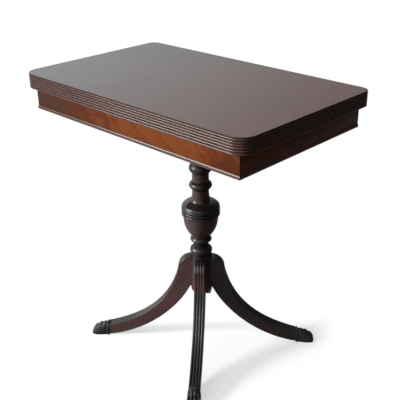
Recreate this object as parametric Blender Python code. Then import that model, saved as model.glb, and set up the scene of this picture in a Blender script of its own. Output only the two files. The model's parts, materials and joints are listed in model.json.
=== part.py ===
"""Flip-top game table: two hinged leaves that swivel on a framed pedestal with four reeded sabre legs.

Metres, +Z up. The origin is on the floor under the pedestal's middle in Y and the top's middle in X.
The closed top's long side runs along X and its front edge faces -Y.
"""

import math

import bmesh
import bpy
from mathutils import Matrix, Vector

# Fits
GAP = 0.0003  # between pieces that touch or pass through each other

# Folding top
TABLE_HEIGHT = 0.740
TOP_LENGTH = 0.732
TOP_DEPTH = 0.451
TOP_OFFSET_Y = -0.012  # middle of the closed top, from the pedestal's axis
LEAF_THICKNESS = 0.0187
FRONT_CORNER_RADIUS = 0.038
BACK_CORNER_RADIUS = 0.022
REEDS_PER_LEAF = 3
REED_DEPTH = 0.0018
REED_STOP = 0.001  # length over which the reeding ends at the hinged edge

# Butt hinges, let into the faces that meet
HINGE_SPACING = 0.440
HINGE_LENGTH = 0.060
HINGE_REACH = 0.024  # from the pin to the plate's far edge
HINGE_THICKNESS = 0.0016
HINGE_STANDOFF = 0.0005  # pin axis behind the leaves' back edges
BARREL_RADIUS = 0.0030
PIN_RADIUS = 0.0014
HINGE_SCREW_MARGIN = 0.013  # from a plate's ends to its screws

# Screws, all of one pattern
SCREW_HEAD_RADIUS = 0.0030
SCREW_HEAD_HEIGHT = 0.0015
SCREW_SHANK_RADIUS = 0.0013
SCREW_LENGTH = 0.0095

# Frame under the top
SIDE_NAMES = ("front", "right", "back", "left")
APRON_HEIGHT = 0.0568
SIDE_INSET = 0.025
FRONT_INSET = 0.020
BACK_INSET = 0.0065
RAIL_THICKNESS = 0.018
BEAD_HEIGHT = 0.0080
BEAD_PROJECTION = 0.0012
CORNER_BLOCK_SIDE = 0.036
CORNER_BLOCK_TIP = 0.008  # width of the block's two cut tips
HOUSING_DEPTH = 0.006  # how far the cross rails are let into the front and back rails
COLUMN_RAIL_WIDTH = 0.130
COLUMN_RAIL_THICKNESS = 0.018
WELL_BOARD_THICKNESS = 0.005
PARTITION_THICKNESS = 0.008

# Swivel under the lower leaf
PIVOT_RAIL_WIDTH = 0.060
PIVOT_RAIL_THICKNESS = 0.022
FLANGE_RADIUS = 0.024
FLANGE_THICKNESS = 0.003
FLANGE_SCREWS = 3
STUD_RADIUS = 0.006
STUD_TIP = 0.0015  # stud left below the nut
WASHER_RADIUS = 0.014
WASHER_THICKNESS = 0.0015
NUT_RADIUS = 0.0105
NUT_THICKNESS = 0.006

# Pedestal
COLUMN_X = 0.0245  # column's axis, from the middle of the top
DRUM_RADIUS = 0.028
DRUM_BOTTOM = 0.149
DRUM_TOP = 0.268
DRUM_ROUND = 0.014
LOWER_TENON_RADIUS = 0.012
LOWER_TENON_END = 0.004  # tenon stops this far above the drum's underside
UPPER_TENON_RADIUS = 0.016
UPPER_TENON_SHORT = 0.001  # tenon stops this far below the column rail's upper face
BASE_SEAT_RADIUS = 0.0270  # where the base ring stands on the drum
BASE_RING_RADIUS = 0.0295
BASE_RING_HEIGHT = 0.0258
WAIST_RADIUS = 0.0182
WAIST_HEIGHT = 0.0096
FOOT_RING_RADIUS = 0.0284
FOOT_RING_HEIGHT = 0.0177
URN_FOOT_RADIUS = 0.0218
URN_RADIUS = 0.0459
URN_BODY_HEIGHT = 0.0631
URN_POWER = 2.5  # how soon the urn's body spreads, above its foot
URN_BANDS = 3
URN_BAND_RADIUS = 0.0504
URN_BAND_HEIGHT = 0.0080
URN_SHOULDER_RADIUS = 0.0497
URN_SHOULDER_HEIGHT = 0.0160
SHOULDER_POWER = 1.7  # 1 makes the shoulder a quarter round, and more makes it flatter near the neck
NECK_RADIUS = 0.0217
NECK_FLARE = 0.0024  # how much the lower neck widens at its foot
LOWER_NECK_HEIGHT = 0.0335
MIDDLE_RING_RADIUS = 0.0299
MIDDLE_RING_HEIGHT = 0.0215
UPPER_NECK_HEIGHT = 0.0238
TOP_RING_RADIUS = 0.0297
TOP_RING_HEIGHT = 0.0221
RING_POWER = 2  # 1 makes a ring half round, and 2 a shallower arc
SHAFT_FOOT_RADIUS = 0.0262
SHAFT_HEAD_RADIUS = 0.0235
COLLAR_RADIUS = 0.0290
COLLAR_HEIGHT = 0.009
CAPITAL_RADIUS = 0.048
CAPITAL_HEIGHT = 0.026
CAPITAL_EDGE = 0.008

# Plate and bolt under the drum
PLATE_RADIUS = 0.0165
PLATE_THICKNESS = 0.0025
BOLT_RADIUS = 0.004
BOLT_LENGTH = 0.045
BOLT_HEAD_RADIUS = 0.0075
BOLT_HEAD_HEIGHT = 0.004

# Legs, measured outwards from the column's axis and up from the floor
LEG_NAMES = ("front", "right", "back", "left")
LEG_TURN = math.radians(-50.6)  # direction of the front leg
LEG_WIDTH = 0.0290
LEG_REEDS = 4
LEG_REED_DEPTH = 0.0016
LEG_TOP_DROP = 0.0070  # leg's top below the drum's top
CROTCH_RISE = 0.026  # where the underside meets the drum, above the drum's bottom
LEG_END = 0.263  # where the leg enters its toe cap
LEG_END_TOP = 0.0322
LEG_END_UNDERSIDE = 0.0012
SHOULDER_REACH = 0.0344  # how far the shoulder stands out from the drum
SHOULDER_DROP = 0.0363
SHOULDER_ROUND = 0.0325
UPPER_HANDLES = Vector((0.0252, -0.1136)), Vector((-0.0983, 0.0270))
LOWER_HANDLES = Vector((0.0311, -0.0711)), Vector((-0.1145, 0.0158))
DOVETAIL_NECK = 0.009
DOVETAIL_ROOT = 0.014
DOVETAIL_DEPTH = 0.010
DOVETAIL_OVERLAP = 0.006  # how far the tail reaches back into the leg
DOVETAIL_FOOT_MARGIN = 0.010  # from the tail's lower end to the crotch
DOVETAIL_HEAD_MARGIN = 0.030  # from the tail's upper end to the leg's top
TENON_LENGTH = 0.020
TENON_SHOULDER = 0.006

# Cast toe caps
TOE_LENGTH = 0.050
COLLAR_LIP_SIDE = 0.0035  # cap wider than the leg, on each side
COLLAR_LIP_TOP = 0.0045  # cap higher than the leg's end
TOE_COUNT = 4
TOE_GROOVE = 0.16  # depth of the furrows between the toes, as a share of the height
# Along the cap: share of the length, of the width, of the height, and of the furrow depth
TOE_SECTIONS = (
    (0.00, 0.90, 0.95, 0.0),
    (0.02, 0.96, 1.00, 0.0),
    (0.09, 0.96, 0.99, 0.0),
    (0.12, 0.86, 0.89, 0.0),
    (0.28, 0.91, 0.90, 0.3),
    (0.45, 0.98, 0.84, 0.8),
    (0.63, 1.00, 0.73, 1.0),
    (0.80, 0.97, 0.58, 1.0),
    (0.92, 0.88, 0.43, 1.0),
    (1.00, 0.66, 0.24, 0.6),
)
TOE_BOXINESS = 0.62
TOE_SCREW_RECESS = 0.0008

# Facets
TURNED_SEGMENTS = 28
SMALL_SEGMENTS = 12
ARC_STEPS = 6
CORNER_STEPS = 6
REED_STEPS = 4
LEG_STATIONS = 10
SHOULDER_STATIONS = 5
LEG_REED_STEPS = 3
LEG_UNDER_STEPS = 6
TOE_STEPS = 16
SHARP_ANGLE = math.radians(35)

# Heights that follow from the sizes above
LEAF_JOINT = TABLE_HEIGHT - LEAF_THICKNESS - GAP / 2
UPPER_LEAF_BOTTOM = LEAF_JOINT + GAP / 2
LOWER_LEAF_TOP = LEAF_JOINT - GAP / 2
LOWER_LEAF_BOTTOM = LOWER_LEAF_TOP - LEAF_THICKNESS
FRAME_TOP = LOWER_LEAF_BOTTOM - GAP
FRAME_BOTTOM = FRAME_TOP - APRON_HEIGHT
RAIL_BOTTOM = FRAME_BOTTOM + BEAD_HEIGHT + GAP
COLUMN_RAIL_TOP = RAIL_BOTTOM + COLUMN_RAIL_THICKNESS
WELL_BOARD_TOP = COLUMN_RAIL_TOP + GAP + WELL_BOARD_THICKNESS
PIVOT_RAIL_BOTTOM = FRAME_TOP - PIVOT_RAIL_THICKNESS
LEG_TOP = DRUM_TOP - LEG_TOP_DROP
LEG_CROTCH = DRUM_BOTTOM + CROTCH_RISE
TOE_HEIGHT = LEG_END_TOP + COLLAR_LIP_TOP

# Places in plan
TOP_BACK = TOP_OFFSET_Y + TOP_DEPTH / 2
TOP_FRONT = TOP_OFFSET_Y - TOP_DEPTH / 2
FRAME_HALF = TOP_LENGTH / 2 - SIDE_INSET
FRAME_FRONT = TOP_FRONT + FRONT_INSET
FRAME_BACK = TOP_BACK - BACK_INSET
INNER_HALF = FRAME_HALF - RAIL_THICKNESS
INNER_FRONT = FRAME_FRONT + RAIL_THICKNESS
INNER_BACK = FRAME_BACK - RAIL_THICKNESS
PIVOT = Vector((TOP_DEPTH / 4, TOP_OFFSET_Y + TOP_DEPTH / 4, FRAME_TOP))
PIVOT_RAIL_LEFT = PIVOT.x - PIVOT_RAIL_WIDTH / 2
FLIP_AXIS = Vector((0, TOP_BACK + HINGE_STANDOFF, LEAF_JOINT))
COLUMN_AXIS = Vector((COLUMN_X, 0, 0))
LEG_SEAT = DRUM_RADIUS + GAP
TOE_WIDTH = LEG_WIDTH + 2 * COLLAR_LIP_SIDE
FLANGE_SCREW_CIRCLE = (STUD_RADIUS + FLANGE_RADIUS) / 2


def clear_scene():
    for old in list(bpy.data.objects):
        bpy.data.objects.remove(old)


def finish_material(name, colour, roughness, metallic=0.0):
    material = bpy.data.materials.new(name)
    material.use_nodes = True
    shader = material.node_tree.nodes["Principled BSDF"]
    shader.inputs["Base Color"].default_value = (*colour, 1.0)
    shader.inputs["Roughness"].default_value = roughness
    shader.inputs["Metallic"].default_value = metallic
    return material


def axis_empty(name, place, parent=None):
    """An empty on a joint's axis, to carry the pieces that turn about it."""
    empty = bpy.data.objects.new(name, None)
    bpy.context.collection.objects.link(empty)
    empty.parent = parent
    empty.location = place - (parent.matrix_world.translation if parent else Vector())
    bpy.context.view_layer.update()
    return empty


def add_piece(name, mesh, material, parent, turn=0.0):
    """Make a mesh that is modelled in place into an object whose origin is on its parent's axis."""
    if turn == 0.0:
        mesh.transform(Matrix.Translation(-parent.matrix_world.translation))
    mesh.materials.clear()
    mesh.materials.append(material)
    mesh.shade_smooth()
    mesh.set_sharp_from_angle(angle=SHARP_ANGLE)
    piece = bpy.data.objects.new(name, mesh)
    piece.parent = parent
    piece.rotation_euler.z = turn
    bpy.context.collection.objects.link(piece)
    return piece


def mesh_from(bm):
    bmesh.ops.recalc_face_normals(bm, faces=bm.faces)
    mesh = bpy.data.meshes.new("shape")
    bm.to_mesh(mesh)
    bm.free()
    return mesh


def combined(mesh, cutters=(), additions=()):
    """The mesh with some shapes joined on and then others cut away."""
    body = bpy.data.objects.new("body", mesh)
    bpy.context.collection.objects.link(body)
    tools = []
    for operation, shapes in (("UNION", additions), ("DIFFERENCE", cutters)):
        for shape in shapes:
            tool = bpy.data.objects.new("tool", shape)
            bpy.context.collection.objects.link(tool)
            boolean = body.modifiers.new("boolean", "BOOLEAN")
            boolean.operation = operation
            boolean.solver = "EXACT"
            boolean.object = tool
            tools.append(tool)
    graph = bpy.context.evaluated_depsgraph_get()
    result = bpy.data.meshes.new_from_object(body.evaluated_get(graph))
    for scrap in (body, *tools):
        bpy.data.objects.remove(scrap)
    return result


def box(low, high):
    low, high = Vector(low), Vector(high)
    bm = bmesh.new()
    bmesh.ops.create_cube(bm, size=1.0)
    bmesh.ops.scale(bm, vec=high - low, verts=bm.verts)
    bmesh.ops.translate(bm, vec=(low + high) / 2, verts=bm.verts)
    return mesh_from(bm)


def cylinder(radius, start, end, segments=SMALL_SEGMENTS):
    """A round bar from one point to another."""
    start, end = Vector(start), Vector(end)
    bm = bmesh.new()
    length = (end - start).length
    bmesh.ops.create_cone(
        bm, cap_ends=True, segments=segments, radius1=radius, radius2=radius, depth=length
    )
    aim = (end - start).to_track_quat("Z", "Y").to_matrix().to_4x4()
    bmesh.ops.transform(bm, matrix=Matrix.Translation((start + end) / 2) @ aim, verts=bm.verts)
    return mesh_from(bm)


def turned(profile, centre, segments=TURNED_SEGMENTS):
    """A shape turned about the vertical through centre, from (radius, height) points along its outline."""
    bm = bmesh.new()
    verts = [bm.verts.new((centre.x + r, centre.y, z)) for r, z in profile]
    edges = [bm.edges.new(pair) for pair in zip(verts, verts[1:])]
    bmesh.ops.spin(
        bm, geom=verts + edges, cent=centre, axis=(0, 0, 1), angle=math.tau, steps=segments, use_merge=True
    )
    bmesh.ops.remove_doubles(bm, verts=bm.verts, dist=1e-6)
    return mesh_from(bm)


def prism(outline, bottom, top):
    """An outline in plan, stood up between two heights."""
    bm = bmesh.new()
    base = bm.faces.new([bm.verts.new((x, y, bottom)) for x, y in outline])
    grown = bmesh.ops.extrude_face_region(bm, geom=[base])
    lifted = [v for v in grown["geom"] if isinstance(v, bmesh.types.BMVert)]
    bmesh.ops.translate(bm, vec=(0, 0, top - bottom), verts=lifted)
    return mesh_from(bm)


def lofted(rings):
    """A closed body through rings that all have the same number of points."""
    bm = bmesh.new()
    loops = [[bm.verts.new(point) for point in ring] for ring in rings]
    for near, far in zip(loops, loops[1:]):
        for i, vert in enumerate(near):
            before = i - 1
            bm.faces.new((near[before], vert, far[i], far[before]))
    bm.faces.new(loops[0])
    bm.faces.new(loops[-1])
    return mesh_from(bm)


def bezier(ends, handles, share):
    """A point of the cubic between two ends, with a handle given from each end."""
    first, last = ends
    rest = 1 - share
    return (
        first * rest**3
        + (first + handles[0]) * (3 * share * rest**2)
        + (last + handles[1]) * (3 * share**2 * rest)
        + last * share**3
    )


def bead(radius, foot, bottom, height, head=None, power=1):
    """Profile points of a ring that swells from a foot radius and ends at a head radius, going up."""
    points = []
    for i in range(ARC_STEPS + 1):
        angle = math.pi * i / ARC_STEPS
        end = foot if head is None or 2 * i < ARC_STEPS else head
        swell = math.sin(angle) ** power
        points.append((end + (radius - end) * swell, bottom + height * (1 - math.cos(angle)) / 2))
    return points


def screw(place, into):
    """A countersunk screw with its head's flat at place and its shank up (into is 1) or down (-1)."""
    outline = (
        (0, 0),
        (SCREW_HEAD_RADIUS, 0),
        (SCREW_SHANK_RADIUS, SCREW_HEAD_HEIGHT),
        (SCREW_SHANK_RADIUS, SCREW_LENGTH),
        (0, SCREW_LENGTH),
    )
    mesh = turned([(r, into * depth) for r, depth in outline], Vector(), SMALL_SEGMENTS)
    mesh.transform(Matrix.Translation(place))
    return mesh


def screw_hole(place, into, mouth=GAP):
    """The cutter for a screw's hole, which stands out past the head's flat by the height of its mouth."""
    head = SCREW_HEAD_RADIUS + GAP
    shank = SCREW_SHANK_RADIUS + GAP
    outline = (
        (0, -mouth),
        (head, -mouth),
        (head, 0),
        (shank, SCREW_HEAD_HEIGHT),
        (shank, SCREW_LENGTH + GAP),
        (0, SCREW_LENGTH + GAP),
    )
    mesh = turned([(r, into * depth) for r, depth in outline], Vector(), SMALL_SEGMENTS)
    mesh.transform(Matrix.Translation(place))
    return mesh


def leaf_outline(inset):
    """The leaf in plan, inset on its three reeded sides and plain along the hinged back edge."""
    half = TOP_LENGTH / 2
    points = []
    corners = (
        (half - BACK_CORNER_RADIUS, TOP_BACK - BACK_CORNER_RADIUS, BACK_CORNER_RADIUS, 90, 0),
        (half - FRONT_CORNER_RADIUS, TOP_FRONT + FRONT_CORNER_RADIUS, FRONT_CORNER_RADIUS, 0, -90),
        (FRONT_CORNER_RADIUS - half, TOP_FRONT + FRONT_CORNER_RADIUS, FRONT_CORNER_RADIUS, -90, -180),
        (BACK_CORNER_RADIUS - half, TOP_BACK - BACK_CORNER_RADIUS, BACK_CORNER_RADIUS, -180, -270),
    )
    for x, y, radius, start, end in corners:
        for i in range(CORNER_STEPS + 1):
            angle = math.radians(start + (end - start) * i / CORNER_STEPS)
            points.append((x + (radius - inset) * math.cos(angle), y + (radius - inset) * math.sin(angle)))
    plain = half - BACK_CORNER_RADIUS - REED_STOP
    return points + [(-plain, TOP_BACK), (plain, TOP_BACK)]


def leaf_blank(bottom):
    """One leaf before its hinges are let in: a stack of outlines that follows the reeds."""
    reed = LEAF_THICKNESS / REEDS_PER_LEAF
    rings = []
    for level in range(REEDS_PER_LEAF * REED_STEPS + 1):
        angle = math.pi * (level % REED_STEPS) / REED_STEPS
        inset = REED_DEPTH * (1 - math.sin(angle))
        height = reed * (level // REED_STEPS) + reed * (1 - math.cos(angle)) / 2
        rings.append([(x, y, bottom + height) for x, y in leaf_outline(inset)])
    return lofted(rings)


def hinge_places():
    return {"left": -HINGE_SPACING / 2, "right": HINGE_SPACING / 2}


def hinge_screw_places(x, face):
    """Where a plate's screws go, on its face that meets the other plate."""
    middle = FLIP_AXIS.y - (HINGE_REACH + BARREL_RADIUS) / 2
    reach = HINGE_LENGTH / 2 - HINGE_SCREW_MARGIN
    return [Vector((x + side * reach, middle, face)) for side in (-1, 1)]


def hinge_recess(x, face, into):
    """Cutters for one hinge in a leaf: the plate's bed, the barrel's pocket and the screw holes."""
    half = HINGE_LENGTH / 2 + GAP
    floor = face + into * (HINGE_THICKNESS + GAP)
    proud = face - into * BARREL_RADIUS
    low = (x - half, FLIP_AXIS.y - HINGE_REACH - GAP, min(floor, proud))
    high = (x + half, FLIP_AXIS.y + BARREL_RADIUS, max(floor, proud))
    pocket_start = Vector((x - half, FLIP_AXIS.y, FLIP_AXIS.z))
    pocket_end = Vector((x + half, FLIP_AXIS.y, FLIP_AXIS.z))
    pocket = cylinder(BARREL_RADIUS + 2 * GAP, pocket_start, pocket_end, TURNED_SEGMENTS)
    holes = [screw_hole(place, into) for place in hinge_screw_places(x, face)]
    return [box(low, high), pocket, *holes]


def hinge_plate(x, face, into, knuckles):
    """One plate of a hinge with its share of the knuckles, bored for the pin."""
    back = face + into * HINGE_THICKNESS
    low_z, high_z = sorted((face, back))
    edge = FLIP_AXIS.y - BARREL_RADIUS - 2 * GAP
    half = HINGE_LENGTH / 2
    plate = box((x - half, FLIP_AXIS.y - HINGE_REACH, low_z), (x + half, edge, high_z))
    additions = []
    for start, end in knuckles:
        additions.append(
            box(
                (x + start, edge - BARREL_RADIUS / 2, low_z),
                (x + end, FLIP_AXIS.y - PIN_RADIUS, high_z),
            )
        )
        ends = [Vector((x + place, FLIP_AXIS.y, FLIP_AXIS.z)) for place in (start, end)]
        additions.append(cylinder(BARREL_RADIUS, *ends))
    bore_reach = Vector((HINGE_LENGTH, 0, 0))
    middle = Vector((x, FLIP_AXIS.y, FLIP_AXIS.z))
    bore = cylinder(PIN_RADIUS + GAP, middle - bore_reach, middle + bore_reach)
    holes = [screw_hole(place, into) for place in hinge_screw_places(x, face)]
    return combined(plate, [bore, *holes], additions)


def make_hinges(brass, lower_body, upper_body):
    third = HINGE_LENGTH / 3
    outer = (
        (-HINGE_LENGTH / 2, -third / 2 - GAP / 2),
        (third / 2 + GAP / 2, HINGE_LENGTH / 2),
    )
    middle = ((-third / 2 + GAP / 2, third / 2 - GAP / 2),)
    sides = (
        ("lower", LOWER_LEAF_TOP, -1, outer, lower_body),
        ("upper", UPPER_LEAF_BOTTOM, 1, middle, upper_body),
    )
    for hand, x in hinge_places().items():
        for level, face, into, knuckles, body in sides:
            plate = hinge_plate(x, face, into, knuckles)
            add_piece(f"hinge_plate_{hand}_{level}", plate, brass, body)
            for i, place in enumerate(hinge_screw_places(x, face), 1):
                add_piece(f"hinge_screw_{hand}_{level}_{i}", screw(place, into), brass, body)
        reach = Vector((HINGE_LENGTH / 2, 0, 0))
        seat = Vector((x, FLIP_AXIS.y, FLIP_AXIS.z))
        pin = cylinder(PIN_RADIUS, seat - reach, seat + reach)
        add_piece(f"hinge_pin_{hand}", pin, brass, lower_body)


def make_leaves(wood, lower_body, upper_body):
    lower_cuts = []
    upper_cuts = []
    for x in hinge_places().values():
        lower_cuts += hinge_recess(x, LOWER_LEAF_TOP, -1)
        upper_cuts += hinge_recess(x, UPPER_LEAF_BOTTOM, 1)
    bed_top = Vector((PIVOT.x, PIVOT.y, LOWER_LEAF_BOTTOM + FLANGE_THICKNESS + GAP))
    bed_under = Vector((PIVOT.x, PIVOT.y, FRAME_TOP - FLANGE_THICKNESS))
    lower_cuts.append(cylinder(FLANGE_RADIUS + GAP, bed_under, bed_top, TURNED_SEGMENTS))
    lower_cuts += [screw_hole(place, 1) for place in flange_screw_places()]
    add_piece("lower_leaf", combined(leaf_blank(LOWER_LEAF_BOTTOM), lower_cuts), wood, lower_body)
    add_piece("upper_leaf", combined(leaf_blank(UPPER_LEAF_BOTTOM), upper_cuts), wood, upper_body)


def flange_screw_places():
    places = []
    for i in range(FLANGE_SCREWS):
        angle = math.tau * i / FLANGE_SCREWS
        out = Vector((math.cos(angle), math.sin(angle), 0)) * FLANGE_SCREW_CIRCLE
        places.append(Vector((PIVOT.x, PIVOT.y, LOWER_LEAF_BOTTOM)) + out)
    return places


def make_pivot(iron, lower_body):
    washer_top = PIVOT_RAIL_BOTTOM - GAP
    nut_top = washer_top - WASHER_THICKNESS - GAP
    nut_bottom = nut_top - NUT_THICKNESS
    stud_end = nut_bottom - STUD_TIP
    flange_top = LOWER_LEAF_BOTTOM + FLANGE_THICKNESS
    stud_profile = [
        (0, flange_top),
        (FLANGE_RADIUS, flange_top),
        (FLANGE_RADIUS, LOWER_LEAF_BOTTOM),
        (STUD_RADIUS, LOWER_LEAF_BOTTOM),
        (STUD_RADIUS, stud_end),
        (0, stud_end),
    ]
    holes = [screw_hole(place, 1) for place in flange_screw_places()]
    stud = combined(turned(stud_profile, PIVOT), holes)
    add_piece("pivot_stud", stud, iron, lower_body)
    for i, place in enumerate(flange_screw_places(), 1):
        add_piece(f"pivot_screw_{i}", screw(place, 1), iron, lower_body)

    bore = STUD_RADIUS + GAP
    washer_bottom = washer_top - WASHER_THICKNESS
    washer_profile = [
        (bore, washer_top),
        (WASHER_RADIUS, washer_top),
        (WASHER_RADIUS, washer_bottom),
        (bore, washer_bottom),
        (bore, washer_top),
    ]
    add_piece("pivot_washer", turned(washer_profile, PIVOT), iron, lower_body)

    hexagon = [
        (PIVOT.x + NUT_RADIUS * math.cos(math.tau * i / 6), PIVOT.y + NUT_RADIUS * math.sin(math.tau * i / 6))
        for i in range(6)
    ]
    thread = cylinder(
        bore,
        (PIVOT.x, PIVOT.y, nut_top + NUT_THICKNESS),
        (PIVOT.x, PIVOT.y, nut_bottom - NUT_THICKNESS),
        TURNED_SEGMENTS,
    )
    nut = combined(prism(hexagon, nut_bottom, nut_top), [thread])
    add_piece("pivot_nut", nut, iron, lower_body)


def frame_corners(half, front, back):
    """The frame's corners in plan, from the front left one round to the back left one."""
    return [Vector(place) for place in ((-half, front), (half, front), (half, back), (-half, back))]


def make_rails(wood, base):
    """The four veneered rails, mitred where they meet."""
    column_rail_housing = box(
        (
            COLUMN_X - COLUMN_RAIL_WIDTH / 2 - GAP,
            INNER_FRONT - HOUSING_DEPTH - GAP,
            RAIL_BOTTOM - COLUMN_RAIL_THICKNESS,
        ),
        (
            COLUMN_X + COLUMN_RAIL_WIDTH / 2 + GAP,
            INNER_BACK + HOUSING_DEPTH + GAP,
            COLUMN_RAIL_TOP + GAP,
        ),
    )
    pivot_rail_housing = box(
        (PIVOT_RAIL_LEFT - GAP, INNER_FRONT - HOUSING_DEPTH - GAP, PIVOT_RAIL_BOTTOM - GAP),
        (
            PIVOT_RAIL_LEFT + PIVOT_RAIL_WIDTH + GAP,
            INNER_BACK + HOUSING_DEPTH + GAP,
            FRAME_TOP + PIVOT_RAIL_THICKNESS,
        ),
    )
    outer = frame_corners(FRAME_HALF, FRAME_FRONT, FRAME_BACK)
    inner = frame_corners(INNER_HALF, INNER_FRONT, INNER_BACK)
    for i, side in enumerate(SIDE_NAMES):
        start, end = i, (i + 1) % len(SIDE_NAMES)
        clear = (outer[end] - outer[start]).normalized() * GAP
        outline = (outer[start] + clear, outer[end] - clear, inner[end] - clear, inner[start] + clear)
        rail = prism(outline, RAIL_BOTTOM, FRAME_TOP)
        if side in ("front", "back"):
            rail = combined(rail, [column_rail_housing.copy(), pivot_rail_housing.copy()])
        add_piece(f"{side}_rail", rail, wood, base)


def bead_strip(half_length, outward):
    """A length of bead with a rounded nose and mitred ends, lying along X with its back at -outward side."""
    nose = []
    for i in range(ARC_STEPS + 1):
        angle = math.pi * (i / ARC_STEPS - 0.5)
        nose.append(
            (BEAD_PROJECTION * math.cos(angle), BEAD_HEIGHT * (0.5 + math.sin(angle) / 2))
        )
    section = [(-RAIL_THICKNESS, 0), *nose, (-RAIL_THICKNESS, BEAD_HEIGHT)]
    rings = []
    for side in (-1, 1):
        rings.append(
            [
                (side * (half_length + out - GAP), outward * out, FRAME_BOTTOM + height)
                for out, height in section
            ]
        )
    return lofted(rings)


def make_beads(wood, base):
    middle = (FRAME_FRONT + FRAME_BACK) / 2
    half_depth = (FRAME_BACK - FRAME_FRONT) / 2
    quarter = Matrix.Rotation(math.pi / 2, 4, "Z")
    sides = (
        ("front", bead_strip(FRAME_HALF, -1), Matrix.Translation((0, FRAME_FRONT, 0))),
        ("back", bead_strip(FRAME_HALF, 1), Matrix.Translation((0, FRAME_BACK, 0))),
        ("left", bead_strip(half_depth, 1), Matrix.Translation((-FRAME_HALF, middle, 0)) @ quarter),
        ("right", bead_strip(half_depth, -1), Matrix.Translation((FRAME_HALF, middle, 0)) @ quarter),
    )
    for name, strip, place in sides:
        strip.transform(place)
        add_piece(f"cock_bead_{name}", strip, wood, base)


def make_corner_blocks(wood, base):
    corners = (
        ("front_left", -INNER_HALF, INNER_FRONT, 1, 1),
        ("front_right", INNER_HALF, INNER_FRONT, -1, 1),
        ("back_left", -INNER_HALF, INNER_BACK, 1, -1),
        ("back_right", INNER_HALF, INNER_BACK, -1, -1),
    )
    long, tip = CORNER_BLOCK_SIDE, CORNER_BLOCK_TIP
    outline = ((GAP, 2 * GAP), (long, 2 * GAP), (long, tip), (tip, long), (GAP, long))
    for name, x, y, inward_x, inward_y in corners:
        points = [(x + inward_x * a, y + inward_y * b) for a, b in outline]
        block = prism(points, RAIL_BOTTOM, COLUMN_RAIL_TOP)
        add_piece(f"corner_block_{name}", block, wood, base)


def make_cross_members(wood, base):
    half = COLUMN_RAIL_WIDTH / 2
    column_rail = box(
        (COLUMN_X - half, INNER_FRONT - HOUSING_DEPTH, RAIL_BOTTOM),
        (COLUMN_X + half, INNER_BACK + HOUSING_DEPTH, COLUMN_RAIL_TOP),
    )
    mortise = cylinder(
        UPPER_TENON_RADIUS + GAP,
        (COLUMN_X, 0, RAIL_BOTTOM - COLUMN_RAIL_THICKNESS),
        (COLUMN_X, 0, COLUMN_RAIL_TOP + COLUMN_RAIL_THICKNESS),
        TURNED_SEGMENTS,
    )
    add_piece("column_rail", combined(column_rail, [mortise]), wood, base)

    pivot_rail = box(
        (PIVOT_RAIL_LEFT, INNER_FRONT - HOUSING_DEPTH, PIVOT_RAIL_BOTTOM),
        (PIVOT_RAIL_LEFT + PIVOT_RAIL_WIDTH, INNER_BACK + HOUSING_DEPTH, FRAME_TOP),
    )
    bearing = cylinder(
        STUD_RADIUS + GAP,
        (PIVOT.x, PIVOT.y, PIVOT_RAIL_BOTTOM - PIVOT_RAIL_THICKNESS),
        (PIVOT.x, PIVOT.y, FRAME_TOP + PIVOT_RAIL_THICKNESS),
        TURNED_SEGMENTS,
    )
    add_piece("pivot_rail", combined(pivot_rail, [bearing]), wood, base)

    well_right = PIVOT_RAIL_LEFT - GAP
    well_board = box(
        (-INNER_HALF + GAP, INNER_FRONT + GAP, COLUMN_RAIL_TOP + GAP),
        (well_right, INNER_BACK - GAP, WELL_BOARD_TOP),
    )
    add_piece("well_board", well_board, wood, base)
    partition = box(
        (well_right - PARTITION_THICKNESS, INNER_FRONT + GAP, WELL_BOARD_TOP + GAP),
        (well_right, INNER_BACK - GAP, FRAME_TOP),
    )
    add_piece("well_partition", partition, wood, base)


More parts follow.
